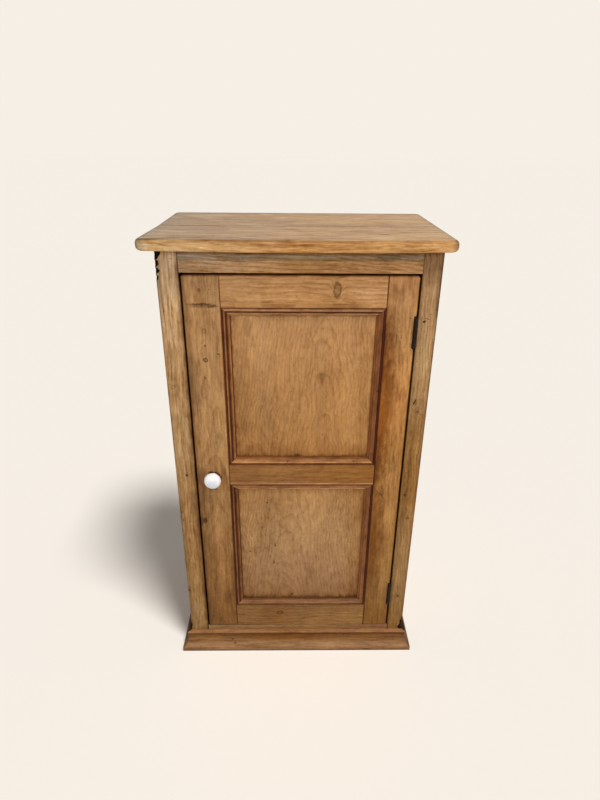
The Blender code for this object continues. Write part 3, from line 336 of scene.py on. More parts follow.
def pine(node, grain, tones, seed, rings=0.0068, heart=(0, 0, 0), run_out=0.03, curl=(9, 0.010),
         figure=0.3, streaks=0.9, strokes=0.8, patches=0.7, mottle=0.6, nap=0.6, flecks=0.6, satin=0.5,
         bands=(), washes=(), worn_face=None, scores=0, dirt=(), marks=(), knots=(), face="y",
         dirt_colour=UMBER):
    """Waxed pine for one board, its figure set by where the board lay in the log.

    The tones change along one axis. Rings is the width of a year's growth, heart the way from
    the board to the middle of the log, run_out the lean of the rings along the board, and curl
    the number of eddies to the metre and their reach. Figure, streaks, strokes, patches, mottle
    and nap say how strongly each pattern shows, and satin how dull the wax is. Bands shade the
    board by the distance from an edge, and dirt lies along edges. A wash, a mark or a knot has
    its middle on the face and its reach both ways first. Then come a wash's tint, a mark's
    strength and turn in degrees, or a knot's strength.
    """
    board = Board(node, grain, face, seed, curl)
    place, parts = board.place, board.parts

    # Growth rings round the heart of the log, with late wood as fine dark lines
    heart_place = (board.low + board.high) / 2 + Vector(heart)
    cross = [1, 1, 1]
    cross[board.along] = 0
    shifted = [-amount * share for amount, share in zip(heart_place, cross)]
    radial = board.vector_sum("MULTIPLY_ADD", board.flow, cross, shifted)
    radius = board.vector_sum("LENGTH", radial, (0, 0, 0), result="Value")
    wander = board.stretched(2.4, 9, 2)
    count = (radius + parts[grain] * run_out + (wander - 0.5) * RING_WANDER) / rings
    ragged = board.stretched(60, 90, 3)
    crooked = place
    if marks or knots or washes:
        loose = board.clouds(place, 140, 2, result=1)
        crooked = board.vector_sum("MULTIPLY_ADD", loose, [CROOKED_BY] * 3, place)
        crooked = board.vector_sum("SUBTRACT", crooked, [CROOKED_BY / 2] * 3)
    cores = []
    for first, second, wide, tall, strength in knots:
        away = board.blot(first, second, wide, tall, crooked)
        count = count + away.fade(2.6, 0.3) * RINGS_BENT_BY_KNOT
        cores.append(away.fade(1.25, 0.9) * strength * (1 - away.fade(0.9, 0.5) * 0.5))
    ring = count % 1
    late = ring ** 3 * ring.fade(1, 0.88)

    # Colour: the board's own tone, swung darker and redder by rings, streaks and old wax
    streak = board.stretched(6, 230, 4, 0.62)
    fibre = board.stretched(45, 1300, 2)
    patch = board.stretched(4.5, 15, 3)
    cloud = board.stretched(30, 70, 3, 0.6)
    grit = board.stretched(95, 190, 2, 0.6)
    swing = (0.22 - late) * figure + (streak - 0.5) * streaks + (patch - 0.5) * patches
    swing = swing + (cloud - 0.5) * mottle
    pores = (fibre - 0.5) * 0.4 + (grit - 0.5) * nap
    pores = pores + (board.stretched(24, 255, 2, 0.6) - 0.5) * strokes
    tone = board.ramped(parts[tones[0]], tones[1])
    if worn_face:
        skin, (tone_axis, face_tones) = worn_face
        worn_tone = board.ramped(parts[tone_axis], face_tones)
        tone = board.mix(tone, worn_tone, (parts["z"] - board.high.z).fade(-skin, 0))
    depth = board.vector_sum("MULTIPLY_ADD", swing, SWING_TINT, (1, 1, 1))
    depth = board.vector_sum("MULTIPLY_ADD", pores, PORE_TINT, depth)
    colour = board.vector_sum("MULTIPLY", tone, depth)
    for axis, side, waver, stops in bands:
        distance = board.from_edge(axis, side) + (cloud - 0.5) * waver
        colour = board.vector_sum("MULTIPLY", colour, board.ramped(distance, stops))
    for first, second, wide, tall, factor in washes:
        away = board.blot(first, second, wide, tall, crooked) + (cloud - 0.5) * 0.9
        colour = board.mix(colour, board.vector_sum("MULTIPLY", colour, factor), away.fade(1.3, 0.3))
    if scores:
        vein = board.stretched(5, 62, 1) - 0.5
        rubbed = board.stretched(9, 26, 2).fade(0.40, 0.60)
        scratch = (vein * vein).fade(SCRATCH_WIDTH, 0) * rubbed
        scratch = scratch * (parts["z"] - board.high.z).fade(-SCRATCH_DEPTH, 0) * scores
        colour = board.mix(colour, SCRATCHED_PINE, scratch)

    # Flecks, dirt along the joints, stains, painted shadows among the marks, knots and thirsty end grain
    grime_and_painted_shade = board.clouds(place, 210, 1.5, 0.6).fade(0.68, 0.78) * flecks
    for axis, side, reach, strength in dirt:
        grime_and_painted_shade = board.sum("MAXIMUM", grime_and_painted_shade, board.near_edge(axis, side, reach, ragged) * strength)
    for first, second, wide, tall, strength, turn in marks:
        away = board.blot(first, second, wide, tall, crooked, math.radians(turn))
        grime_and_painted_shade = board.sum("MAXIMUM", grime_and_painted_shade, away.fade(1.3, 0.5) * strength)
    for core in cores:
        grime_and_painted_shade = board.sum("MAXIMUM", grime_and_painted_shade, core)
    colour = board.mix(colour, dirt_colour, grime_and_painted_shade)
    facing = board.node("ShaderNodeTexCoord", result="Normal")
    toward = [0, 0, 0]
    toward[board.along] = 1
    end_on = board.vector_sum("DOT_PRODUCT", facing, toward, result="Value")
    colour = board.mix(colour, UMBER, (end_on * end_on).fade(0.35, 0.8) * END_GRAIN_SHADE)

    # Surface: hard late wood stands a hair above the worn early wood, and dirt and painted shade are dull
    height = streak * 0.5 + late * 0.35 + fibre * 0.3 - grime_and_painted_shade * 0.8
    bump = board.relief(height, 0.45, GRAIN_RELIEF)
    return board.surface({
        "Base Color": colour,
        "Roughness": (patch - 0.5) * 0.2 + (streak - 0.5) * 0.12 + grime_and_painted_shade * 0.2 + satin,
        "Normal": bump,
        "Specular IOR Level": WAX_SHINE,
    })


def dress(node, material):
    """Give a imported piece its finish."""
    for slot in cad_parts[node].material_slots:
        slot.material = material


def dress_in_pine(node, grain, tones, seed, **ways):
    """Give a packed board its own pine."""
    dress(node, pine(node, grain, tones, seed, **ways))


SIDE_TONES = ("z", [(0.05, (0.28, 0.14, 0.052)), (0.5, (0.345, 0.18, 0.07)), (1.0, (0.38, 0.215, 0.098))])
SIDE_DIRT = [("z", -1, 0.03, 0.5), ("z", 1, 0.012, 0.6), ("y", -1, 0.004, 0.5), ("y", 1, 0.006, 0.5)]
SIDE_KNOTS = {
    "left_side_board": [(-0.02, 0.31, 0.006, 0.009, 0.8), (0.09, 0.71, 0.005, 0.007, 0.8)],
    "right_side_board": [(0.05, 0.42, 0.006, 0.010, 0.8), (-0.06, 0.83, 0.004, 0.006, 0.8)],
}
for number, (node, side_knots) in enumerate(SIDE_KNOTS.items()):
    dress_in_pine(
        node, "z", SIDE_TONES, 11 + number, heart=(0.05, 0.02, 0), run_out=0.045,
        dirt=SIDE_DIRT, knots=side_knots, face="x",
    )

# Face frame
# Two stiles and two rails of pine, tenoned together and glued over the front of the carcass.
# The upper left corner is chewed away, and a splinter has gone from the lower right corner.
# The left stile's tones rise towards its top, partly as painted light against the shadow of the top's
# overhang
LEFT_STILE_TONES_AND_LIGHT = [
    (0.10, (0.26, 0.145, 0.051)), (0.30, (0.30, 0.16, 0.056)), (0.45, (0.272, 0.140, 0.050)),
    (0.60, (0.365, 0.213, 0.090)), (0.80, (0.425, 0.245, 0.105)), (1.00, (0.455, 0.295, 0.158)),
]
RIGHT_STILE_TONES = [
    (0.10, (0.21, 0.101, 0.025)), (0.30, (0.31, 0.168, 0.062)), (0.48, (0.287, 0.137, 0.034)),
    (0.62, (0.277, 0.138, 0.042)), (0.78, (0.365, 0.212, 0.092)), (0.95, (0.30, 0.161, 0.066)),
]
LEFT_STILE_EDGE = [
    (0.0, (0.45, 0.40, 0.36)), (0.0016, (0.76, 0.76, 0.78)), (0.0050, (0.84, 0.82, 0.80)),
    (0.0100, (0.88, 0.86, 0.84)), (0.0140, (1, 1, 1)),
]
RIGHT_STILE_EDGE = [
    (0.0, (0.30, 0.22, 0.15)), (0.0010, (0.70, 0.62, 0.54)), (0.0022, (1.08, 1.06, 1.04)),
    (0.0100, (1.14, 1.12, 1.10)), (0.0140, (1, 1, 1)),
]
# Painted shade on the left stile beside the door gap. A wash on the stile lifts it again above the door
GAP_SIDE_SHADE = [
    (0.0, (0.32, 0.24, 0.18)), (0.0022, (0.56, 0.49, 0.45)), (0.0042, (0.68, 0.62, 0.57)),
    (0.0070, (0.92, 0.89, 0.85)), (0.0115, (0.95, 0.93, 0.91)), (0.0180, (1, 1, 1)),
]
# Bites out of the outer edges. A left one has its drop below the top and a right one its rise
# from the floor, and then both have their reach across and upwards
LEFT_BITES = [
    (0.0060, 0.0115, 0.0120), (0.0240, 0.0068, 0.0072), (0.0380, 0.0080, 0.0056), (0.0510, 0.0050, 0.0050),
]
LEFT_BITE_DEPTH = 0.0045
RIGHT_BITES = [(0.0600, 0.0105, 0.0110), (0.0760, 0.0070, 0.0110), (0.0900, 0.0035, 0.0090)]
RIGHT_BITE_DEPTH = 0.009
RIGHT_BITE_SET_IN = 0.002
BITE_LUMPS = 0.35
SHARP_CORNER = math.radians(40)
# Near black in the bites, for old dirt and for painted shade in their hollows
TORN_DIRT_AND_SHADE_BLACK = (0.006, 0.003, 0.002)


def torn_skin():
    """A dull dark skin for torn wood, blackened by old dirt and by painted shade in the hollows of the
    bites.
    """
    finish = Finish(bpy.data.materials.new("shaded_torn_wood"))
    place = finish.node("ShaderNodeTexCoord", result="Object")
    cloud = finish.clouds(place, 400, 3)
    lighter = [part * 4 for part in TORN_DIRT_AND_SHADE_BLACK]
    return finish.surface({
        "Base Color": finish.mix(TORN_DIRT_AND_SHADE_BLACK, lighter, cloud.fade(0.45, 0.75)),
        "Roughness": cloud * 0.2 + 0.8,
        "Normal": finish.relief(cloud, 0.5, 0.0008),
        "Specular IOR Level": 0.1,
    })


shaded_torn_wood = torn_skin()


def rough_bite(name, centre, reach, seed):
    """A lumpy pebble, the shape that a bite out of a board's edge leaves."""
    bm = bmesh.new()
    bmesh.ops.create_icosphere(bm, subdivisions=3, radius=1)
    for vertex in bm.verts:
        swell = 1 + BITE_LUMPS * noise.noise(vertex.co * 2.1 + Vector((seed, 0, 0)))
        vertex.co = Vector(part * size * swell for part, size in zip(vertex.co, reach)) + Vector(centre)
    mesh = bpy.data.meshes.new(name)
    bm.to_mesh(mesh)
    bm.free()
    mesh.materials.append(shaded_torn_wood)
    bite = bpy.data.objects.new(name, mesh)
    scene.collection.objects.link(bite)
    return bite


def chewed(node, finish, bites):
    """A copy of a packed board with bites taken out of it, which stands in for the board."""
    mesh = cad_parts[node].data.copy()
    bm = bmesh.new()
    bm.from_mesh(mesh)
    bmesh.ops.remove_doubles(bm, verts=bm.verts, dist=0.000001)
    bm.to_mesh(mesh)
    bm.free()
    mesh.materials.clear()
    mesh.materials.append(finish)
    mesh.materials.append(shaded_torn_wood)
    board = bpy.data.objects.new(node + "_chewed", mesh)
    scene.collection.objects.link(board)
    pebbles = []
    for number, (centre, reach) in enumerate(bites):
        bite = rough_bite(f"{node}_bite_{number}", centre, reach, number * 3.7)
        cut = board.modifiers.new(bite.name, "BOOLEAN")
        cut.operation = "DIFFERENCE"
        cut.solver = "EXACT"
        cut.material_mode = "TRANSFER"
        cut.object = bite
        pebbles.append(bite)
    graph = bpy.context.evaluated_depsgraph_get()
    shaped = bpy.data.meshes.new_from_object(board.evaluated_get(graph))
    board.modifiers.clear()
    board.data = shaped
    shaped.shade_smooth()
    shaped.set_sharp_from_angle(angle=SHARP_CORNER)
    for bite in pebbles:
        bpy.data.objects.remove(bite)
    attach(board, "carcass")
    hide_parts(node)


left_stile_pine = pine(
    "left_face_stile", "z", ("z", LEFT_STILE_TONES_AND_LIGHT), 21, rings=0.0062, heart=(0.05, 0.03, 0), run_out=0.03,
    figure=0.38, streaks=1.0, strokes=1.3, mottle=0.8,
    bands=[("x", -1, 0.004, LEFT_STILE_EDGE), ("x", 1, 0.006, GAP_SIDE_SHADE)],
    washes=[
        (-0.228, 0.28, 0.010, 0.22, (0.78, 0.72, 0.66)), (-0.2295, 0.996, 0.011, 0.030, (1.45, 1.55, 1.70)),
        (-0.2540, 0.865, 0.0065, 0.050, (1.42, 1.50, 1.60)),
    ],
    dirt=[("z", -1, 0.003, 0.6)],
    marks=[
        (-0.2417, 0.519, 0.0035, 0.0035, 0.95, 0), (-0.2631, 0.1847, 0.0035, 0.004, 1.0, 0),
        (-0.2595, 0.397, 0.0022, 0.003, 0.7, 0), (-0.2450, 0.392, 0.0018, 0.0022, 0.6, 0),
        (-0.2600, 0.420, 0.0020, 0.003, 0.5, 0), (-0.2655, 0.066, 0.004, 0.010, 0.8, 20),
    ],
    knots=[(-0.2534, 0.733, 0.004, 0.005, 0.35)],
)
right_stile_pine = pine(
    "right_face_stile", "z", ("z", RIGHT_STILE_TONES), 22, rings=0.0074, heart=(-0.06, 0.05, 0),
    run_out=0.05, curl=(14, 0.018), figure=0.5, streaks=0.85, strokes=0.7,
    bands=[("x", 1, 0.002, RIGHT_STILE_EDGE)],
    washes=[
        (0.2490, 0.52, 0.006, 0.34, (0.84, 0.80, 0.70)), (0.2690, 0.935, 0.010, 0.070, (0.58, 0.59, 0.66)),
    ],
    dirt=[("x", -1, 0.0010, 0.45), ("x", 1, 0.0009, 0.7), ("z", -1, 0.005, 0.8)],
    marks=[
        (0.2465, 0.8733, 0.0030, 0.0022, 1.0, 0), (0.2530, 0.8790, 0.0040, 0.0010, 0.8, 20),
        (0.250, 0.165, 0.004, 0.012, 0.3, 10), (0.2445, 0.6990, 0.0022, 0.0080, 0.9, 16),
        (0.2535, 0.6775, 0.0062, 0.0020, 0.6, 0), (0.2444, 0.4667, 0.0026, 0.0036, 0.9, 0),
        (0.2722, 0.9260, 0.0016, 0.0560, 1.0, 0),
        (0.2570, 0.4026, 0.0030, 0.0034, 0.7, 0), (0.2538, 0.1628, 0.0028, 0.0032, 0.9, 0),
    ],
    knots=[
        (0.2440, 0.6990, 0.0040, 0.0110, 0.25), (0.2529, 0.6770, 0.0060, 0.0060, 0.2),
        (0.2444, 0.4667, 0.0040, 0.0050, 0.3), (0.2570, 0.4026, 0.0045, 0.0055, 0.3),
        (0.2538, 0.1628, 0.0040, 0.0050, 0.3),
    ],
)
frame_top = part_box("left_face_stile")[1].z
chewed("left_face_stile", left_stile_pine, [
    ((frame_low.x, front_y, frame_top - drop), (wide, LEFT_BITE_DEPTH, tall))
    for drop, wide, tall in LEFT_BITES
])
chewed("right_face_stile", right_stile_pine, [
    ((frame_high.x, front_y + RIGHT_BITE_SET_IN, rise), (wide, RIGHT_BITE_DEPTH, tall))
    for rise, wide, tall in RIGHT_BITES
])
TOP_RAIL_TONES = [
    (-0.22, (0.38, 0.225, 0.115)), (-0.09, (0.475, 0.266, 0.122)), (0.0, (0.362, 0.178, 0.058)),
    (0.20, (0.455, 0.235, 0.094)),
]
# By the depth below the rail's top: a grey band of dirt and painted shadow under the top's overhang, shaped
# by the rail's washes, and a little darkening at its lower arris by the door gap
TOP_RAIL_SHADE = [
    (0.0, (0.45, 0.42, 0.38)), (0.0077, (0.58, 0.60, 0.62)), (0.0110, (0.70, 0.90, 1.30)),
    (0.0167, (0.60, 0.68, 0.78)), (0.0188, (0.66, 0.72, 0.78)), (0.0200, (1, 1, 1)),
    (0.0395, (1, 1, 1)), (0.0418, (0.85, 0.78, 0.72)),
]
BOTTOM_RAIL_TONES = [
    (-0.22, (0.245, 0.131, 0.056)), (0.055, (0.256, 0.130, 0.044)), (0.22, (0.21, 0.099, 0.042)),
]
dress_in_pine(
    "face_top_rail", "x", ("x", TOP_RAIL_TONES), 23, rings=0.0064, heart=(0, 0.03, -0.07), run_out=0.07,
    figure=0.5, strokes=1.3, nap=0.7, bands=[("z", 1, 0.003, TOP_RAIL_SHADE)], dirt=[("x", 1, 0.0016, 0.6)],
    washes=[
        (-0.17, 0.998, 0.06, 0.008, (1.22, 1.22, 1.22)), (0.02, 0.998, 0.07, 0.008, (1.25, 1.38, 1.6)),
        (0.190, 0.998, 0.05, 0.008, (0.76, 0.82, 0.85)),
    ],
)
dress_in_pine(
    "face_bottom_rail", "x", ("x", BOTTOM_RAIL_TONES), 24, heart=(0, 0.03, -0.04),
    dirt=[("x", -1, 0.003, 0.8), ("x", 1, 0.003, 0.8)],
)

# Inside
# Bottom board, two loose shelves on chamfered cleats, a stop block behind the top rail and
# four tongued and grooved back boards. All bare pine, dusty and paler than the waxed front.
BARE_PINE = (0.44, 0.29, 0.155)
OLD_PINE = (0.36, 0.225, 0.115)
BACK_BOARD_PITCH = 0.131
BACK_DIRT = [("x", -1, 0.003, 0.5), ("x", 1, 0.003, 0.5), ("z", -1, 0.03, 0.5)]
SHELF_DIRT = [("y", -1, 0.003, 0.4), ("x", -1, 0.01, 0.4), ("x", 1, 0.01, 0.4), ("y", 1, 0.012, 0.4)]
INSIDE_WAYS = {"flecks": 0.3, "satin": 0.68, "figure": 0.4, "patches": 0.3}


def shaded(colour, share):
    """A colour taken down to a share of itself."""
    return tuple(part * share for part in colour)


for number in range(1, 5):
    shade = 0.86 + 0.07 * ((number * 5) % 4)
    board_tones = [(0.05, shaded(OLD_PINE, shade * 0.85)), (1.0, shaded(OLD_PINE, shade))]
    dress_in_pine(
        f"back_board_{number}", "z", ("z", board_tones), 30 + number,
        heart=(0.03 * (number - 2.5), 0.05, 0), run_out=0.05, dirt=BACK_DIRT,
        knots=[(BACK_BOARD_PITCH * number - 0.31, 0.2 + 0.19 * number, 0.006, 0.009, 0.8)], **INSIDE_WAYS,
    )
flat_tones = ("x", [(-0.25, BARE_PINE), (0.25, shaded(BARE_PINE, 0.92))])
for number, node in enumerate(("bottom_board", "lower_shelf", "upper_shelf")):
    dress_in_pine(
        node, "x", flat_tones, 40 + number, heart=(0, 0.04, -0.06), run_out=0.03, face="z",
        dirt=SHELF_DIRT, knots=[(0.08 - 0.09 * number, 0.04 + 0.03 * number, 0.011, 0.007, 0.8)],
        **INSIDE_WAYS,
    )
cleats = [f"{shelf}_shelf_{side}_cleat" for shelf in ("lower", "upper") for side in ("left", "right")]
for number, node in enumerate(cleats):
    dress_in_pine(
        node, "y", ("y", [(-0.15, BARE_PINE), (0.18, OLD_PINE)]), 45 + number,
        heart=(0.03, 0, -0.02), face="x", **INSIDE_WAYS,
    )
dress_in_pine(
    "door_stop", "x", ("x", [(-0.05, BARE_PINE), (0.05, BARE_PINE)]), 50, heart=(0, 0.03, 0.03),
    **INSIDE_WAYS,
)

# Top
# Two wide boards laid side by side, grain from left to right, with the ends worn round. The
# upper face has gone grey-brown and scratched, and the front edge shows warm orange wood.
TOP_EDGE_TONES = [
    (-0.25, (0.508, 0.305, 0.135)), (0.0, (0.440, 0.213, 0.066)), (0.25, (0.545, 0.290, 0.108)),
]
FRONT_FACE_TONES = [
    (-0.27, (0.268, 0.171, 0.098)), (0.0, (0.339, 0.190, 0.087)), (0.25, (0.398, 0.230, 0.101)),
]
REAR_FACE_TONES = [
    (-0.27, (0.256, 0.160, 0.089)), (0.0, (0.325, 0.185, 0.083)), (0.25, (0.362, 0.204, 0.088)),
]
RIGHT_END_SHADE = [
    (0.0, (0.50, 0.52, 0.56)), (0.0075, (0.66, 0.72, 0.80)), (0.0120, (0.90, 0.95, 1.0)),
    (0.0170, (1, 1, 1)),
]
FRONT_LEFT_END_SHADE = [
    (0.0, (0.50, 0.56, 0.62)), (0.0120, (0.68, 0.78, 0.88)), (0.0180, (0.86, 0.95, 1.02)),
    (0.0340, (1, 1, 1)),
]
REAR_LEFT_END_SHADE = [
    (0.0, (0.50, 0.56, 0.62)), (0.0080, (0.64, 0.72, 0.80)), (0.0140, (0.84, 0.93, 1.0)),
    (0.0280, (1, 1, 1)),
]
BACK_EDGE_SHADE = [
    (0.0, (0.62, 0.70, 0.80)), (0.0120, (0.72, 0.80, 0.92)), (0.0220, (0.86, 0.94, 1.04)),
    (0.0360, (1, 1, 1)),
]
# By the depth below the upper face, whose own tones are set for the first of these shades
# A painted highlight on the upper arris, a dark line just below it, and a painted shadow along the lower
# arris
TOP_EDGE_LIGHT_AND_SHADE = [
    (0.0, (1.14, 1.16, 1.20)), (0.0005, (0.94, 0.90, 0.86)), (0.0014, (0.46, 0.40, 0.33)),
    (0.0026, (0.74, 0.70, 0.64)), (0.0060, (0.93, 0.90, 0.85)), (0.0085, (1, 1, 1)),
    (0.0215, (1, 1, 1)), (0.0234, (0.42, 0.36, 0.30)),
]
GREY_SKIN = 0.0015
TOP_WAYS = {
    "rings": 0.0085, "run_out": 0.018, "figure": 0.35, "streaks": 1.7, "strokes": 1.3, "patches": 0.8,
    "mottle": 0.9, "nap": 0.5, "satin": 0.46, "face": "z", "scores": 0.7,
}
dress_in_pine(
    "top_front_board", "x", ("x", TOP_EDGE_TONES), 61, heart=(0, 0.05, -0.09),
    worn_face=(GREY_SKIN, ("x", FRONT_FACE_TONES)),
    bands=[
        ("z", 1, 0.001, TOP_EDGE_LIGHT_AND_SHADE), ("x", 1, 0.003, RIGHT_END_SHADE),
        ("x", -1, 0.003, FRONT_LEFT_END_SHADE),
    ],
    washes=[(-0.278, -0.1810, 0.030, 0.0100, (1.40, 1.50, 1.75))], dirt=[("y", 1, 0.0010, 0.9)],
    marks=[(0.163, -0.118, 0.011, 0.0036, 0.7, -8)], knots=[(0.205, -0.095, 0.007, 0.004, 0.4)],
    **TOP_WAYS,
)
dress_in_pine(
    "top_rear_board", "x", ("x", TOP_EDGE_TONES), 62, heart=(0, -0.05, -0.09),
    worn_face=(GREY_SKIN, ("x", REAR_FACE_TONES)),
    bands=[
        ("z", 1, 0.001, TOP_EDGE_LIGHT_AND_SHADE), ("x", 1, 0.003, RIGHT_END_SHADE),
        ("x", -1, 0.003, REAR_LEFT_END_SHADE), ("y", 1, 0.006, BACK_EDGE_SHADE),
    ],
    dirt=[("y", -1, 0.0010, 0.9)], knots=[(-0.15, 0.075, 0.008, 0.005, 0.4)], **TOP_WAYS,
)

# Plinth
# A coved moulding mitred at the front corners and nailed round the foot, darker than the
# frame above it. Its return ends have opened a little. Dark specks of dirt lie on it, and painted
# shade lies at its foot, in its cove, under its ledge and on its returns.
PLINTH_TONES = ("x", [(-0.29, (0.270, 0.128, 0.049)), (0.29, (0.250, 0.115, 0.044))])
# The returns' tones carry painted shade, deepest at their front ends
RETURN_SHADED_TONES = ("y", [(-0.17, (0.13, 0.062, 0.026)), (-0.10, (0.22, 0.105, 0.042))])
# By the height above the floor: painted contact shadow at the foot, painted shade in the cove and under the
# ledge, and lighter on the ledge
PLINTH_SHADE = [
    (0.0, (0.26, 0.24, 0.21)), (0.0035, (0.66, 0.72, 0.74)), (0.0094, (1.01, 1.09, 1.18)),
    (0.0198, (0.87, 0.92, 0.93)), (0.0302, (0.64, 0.60, 0.45)), (0.0436, (0.455, 0.38, 0.23)),
    (0.0466, (0.345, 0.256, 0.14)), (0.0496, (0.88, 0.82, 0.76)), (0.052, (1.08, 1.06, 1.04)),
]
PLINTH_WASHES = [
    (-0.03, 0.036, 0.12, 0.014, (0.92, 0.78, 0.36)), (-0.22, 0.036, 0.06, 0.012, (1.16, 1.18, 1.06)),
    (0.16, 0.036, 0.11, 0.012, (1.22, 1.18, 1.05)), (-0.03, 0.011, 0.10, 0.011, (0.80, 0.82, 0.76)),
]
PLINTH_MARKS = [
    (-0.1621, 0.0274, 0.0022, 0.0022, 1.0, 0), (-0.1548, 0.0184, 0.0030, 0.0025, 0.8, 0),
    (0.138, 0.0594, 0.004, 0.002, 0.5, 0),
]
# A painted shadow over the front end of each return's top, by the opened mitre
MITRE_PAINTED_SHADOW = [(-0.140, 0.052, 0.034, 0.008, 1.0, 0)]
PLINTH_WAYS = {
    "heart": (0.02, 0.03, -0.03), "run_out": 0.02, "figure": 0.35,
    "bands": [("z", -1, 0.002, PLINTH_SHADE)], "dirt_colour": SOOT_AND_SHADE,
}
dress_in_pine(
    "plinth_front", "x", PLINTH_TONES, 70, washes=PLINTH_WASHES, marks=PLINTH_MARKS, **PLINTH_WAYS,
)
dress_in_pine("plinth_left", "y", RETURN_SHADED_TONES, 71, marks=MITRE_PAINTED_SHADOW, face="x", **PLINTH_WAYS)
dress_in_pine("plinth_right", "y", RETURN_SHADED_TONES, 72, marks=MITRE_PAINTED_SHADOW, face="x", **PLINTH_WAYS)

# Door frame
# Two stiles and three rails, tenoned and wedged, the lock stile rubbed and scarred round the
# knob, with a dark arc above it and a painted reflection of the white knob below it. The wood is
# warmer than the face frame and goes deep brown towards the foot.
LOCK_STILE_TONES = [
    (0.10, (0.155, 0.064, 0.015)), (0.30, (0.235, 0.111, 0.033)), (0.46, (0.282, 0.143, 0.050)),
    (0.58, (0.362, 0.188, 0.069)), (0.92, (0.359, 0.189, 0.074)),
]
# Tints round spots on the lock stile. The pale one just below the knob is a painted reflection of the white
# knob
LOCK_STILE_WASHES = [
    (-0.212, 0.735, 0.020, 0.090, (0.66, 0.65, 0.66)), (-0.209, 0.513, 0.014, 0.026, (0.66, 0.62, 0.68)),
    (-0.208, 0.320, 0.018, 0.110, (0.85, 0.87, 0.90)), (-0.167, 0.155, 0.014, 0.030, (0.70, 0.64, 0.58)),
    (-0.167, 0.245, 0.014, 0.040, (1.22, 1.28, 1.34)), (-0.166, 0.607, 0.014, 0.024, (0.80, 0.80, 0.80)),
    (-0.180, 0.27, 0.011, 0.19, (1.30, 1.32, 1.38)), (-0.150, 0.22, 0.011, 0.11, (0.74, 0.66, 0.56)),
    (-0.158, 0.64, 0.010, 0.09, (1.12, 1.14, 1.16)), (-0.187, 0.4700, 0.013, 0.004, (1.18, 1.25, 1.35)),
    (-0.160, 0.51, 0.010, 0.028, (0.80, 0.70, 0.60)),
]
HINGE_STILE_TONES = [
    (0.10, (0.175, 0.072, 0.013)), (0.20, (0.222, 0.104, 0.028)), (0.33, (0.280, 0.127, 0.032)),
    (0.48, (0.335, 0.157, 0.044)), (0.60, (0.37, 0.167, 0.043)), (0.70, (0.46, 0.21, 0.062)),
    (0.84, (0.49, 0.240, 0.080)), (0.95, (0.44, 0.212, 0.079)),
]
HINGE_STILE_WASHES = [
    (0.173, 0.70, 0.036, 0.22, (0.52, 0.36, 0.16)), (0.173, 0.32, 0.036, 0.22, (0.54, 0.40, 0.20)),
    (0.173, 0.545, 0.022, 0.075, (0.55, 0.46, 0.34)), (0.173, 0.835, 0.022, 0.080, (0.70, 0.60, 0.50)),
    (0.196, 0.865, 0.045, 0.095, (0.80, 0.82, 0.86)), (0.196, 0.600, 0.014, 0.060, (1.25, 1.30, 1.35)),
    (0.211, 0.405, 0.012, 0.040, (1.22, 1.32, 1.40)), (0.211, 0.290, 0.014, 0.120, (1.10, 1.14, 1.22)),
    (0.211, 0.546, 0.012, 0.028, (0.80, 0.80, 0.82)), (0.211, 0.718, 0.014, 0.022, (0.82, 0.78, 0.76)),
]
# By the depth below the door's top: dirt and painted shade on the top edge in the gap, then painted light a
# little lower against the shadow of the top's overhang
DOOR_TOP_GRIME_SHADE_AND_LIGHT = [
    (0.0, (0.30, 0.20, 0.14)), (0.0028, (0.86, 0.80, 0.74)), (0.0052, (1.10, 1.11, 1.12)),
    (0.012, (1.04, 1.04, 1.04)), (0.018, (1, 1, 1)),
]
# Dirt and painted shade on the lock edge in its gap and on the face beside it
LOCK_EDGE_GRIME_AND_SHADE = [
    (0.0, (0.30, 0.20, 0.14)), (0.0022, (0.64, 0.60, 0.56)), (0.007, (0.85, 0.81, 0.75)),
    (0.015, (1, 1, 1)),
]
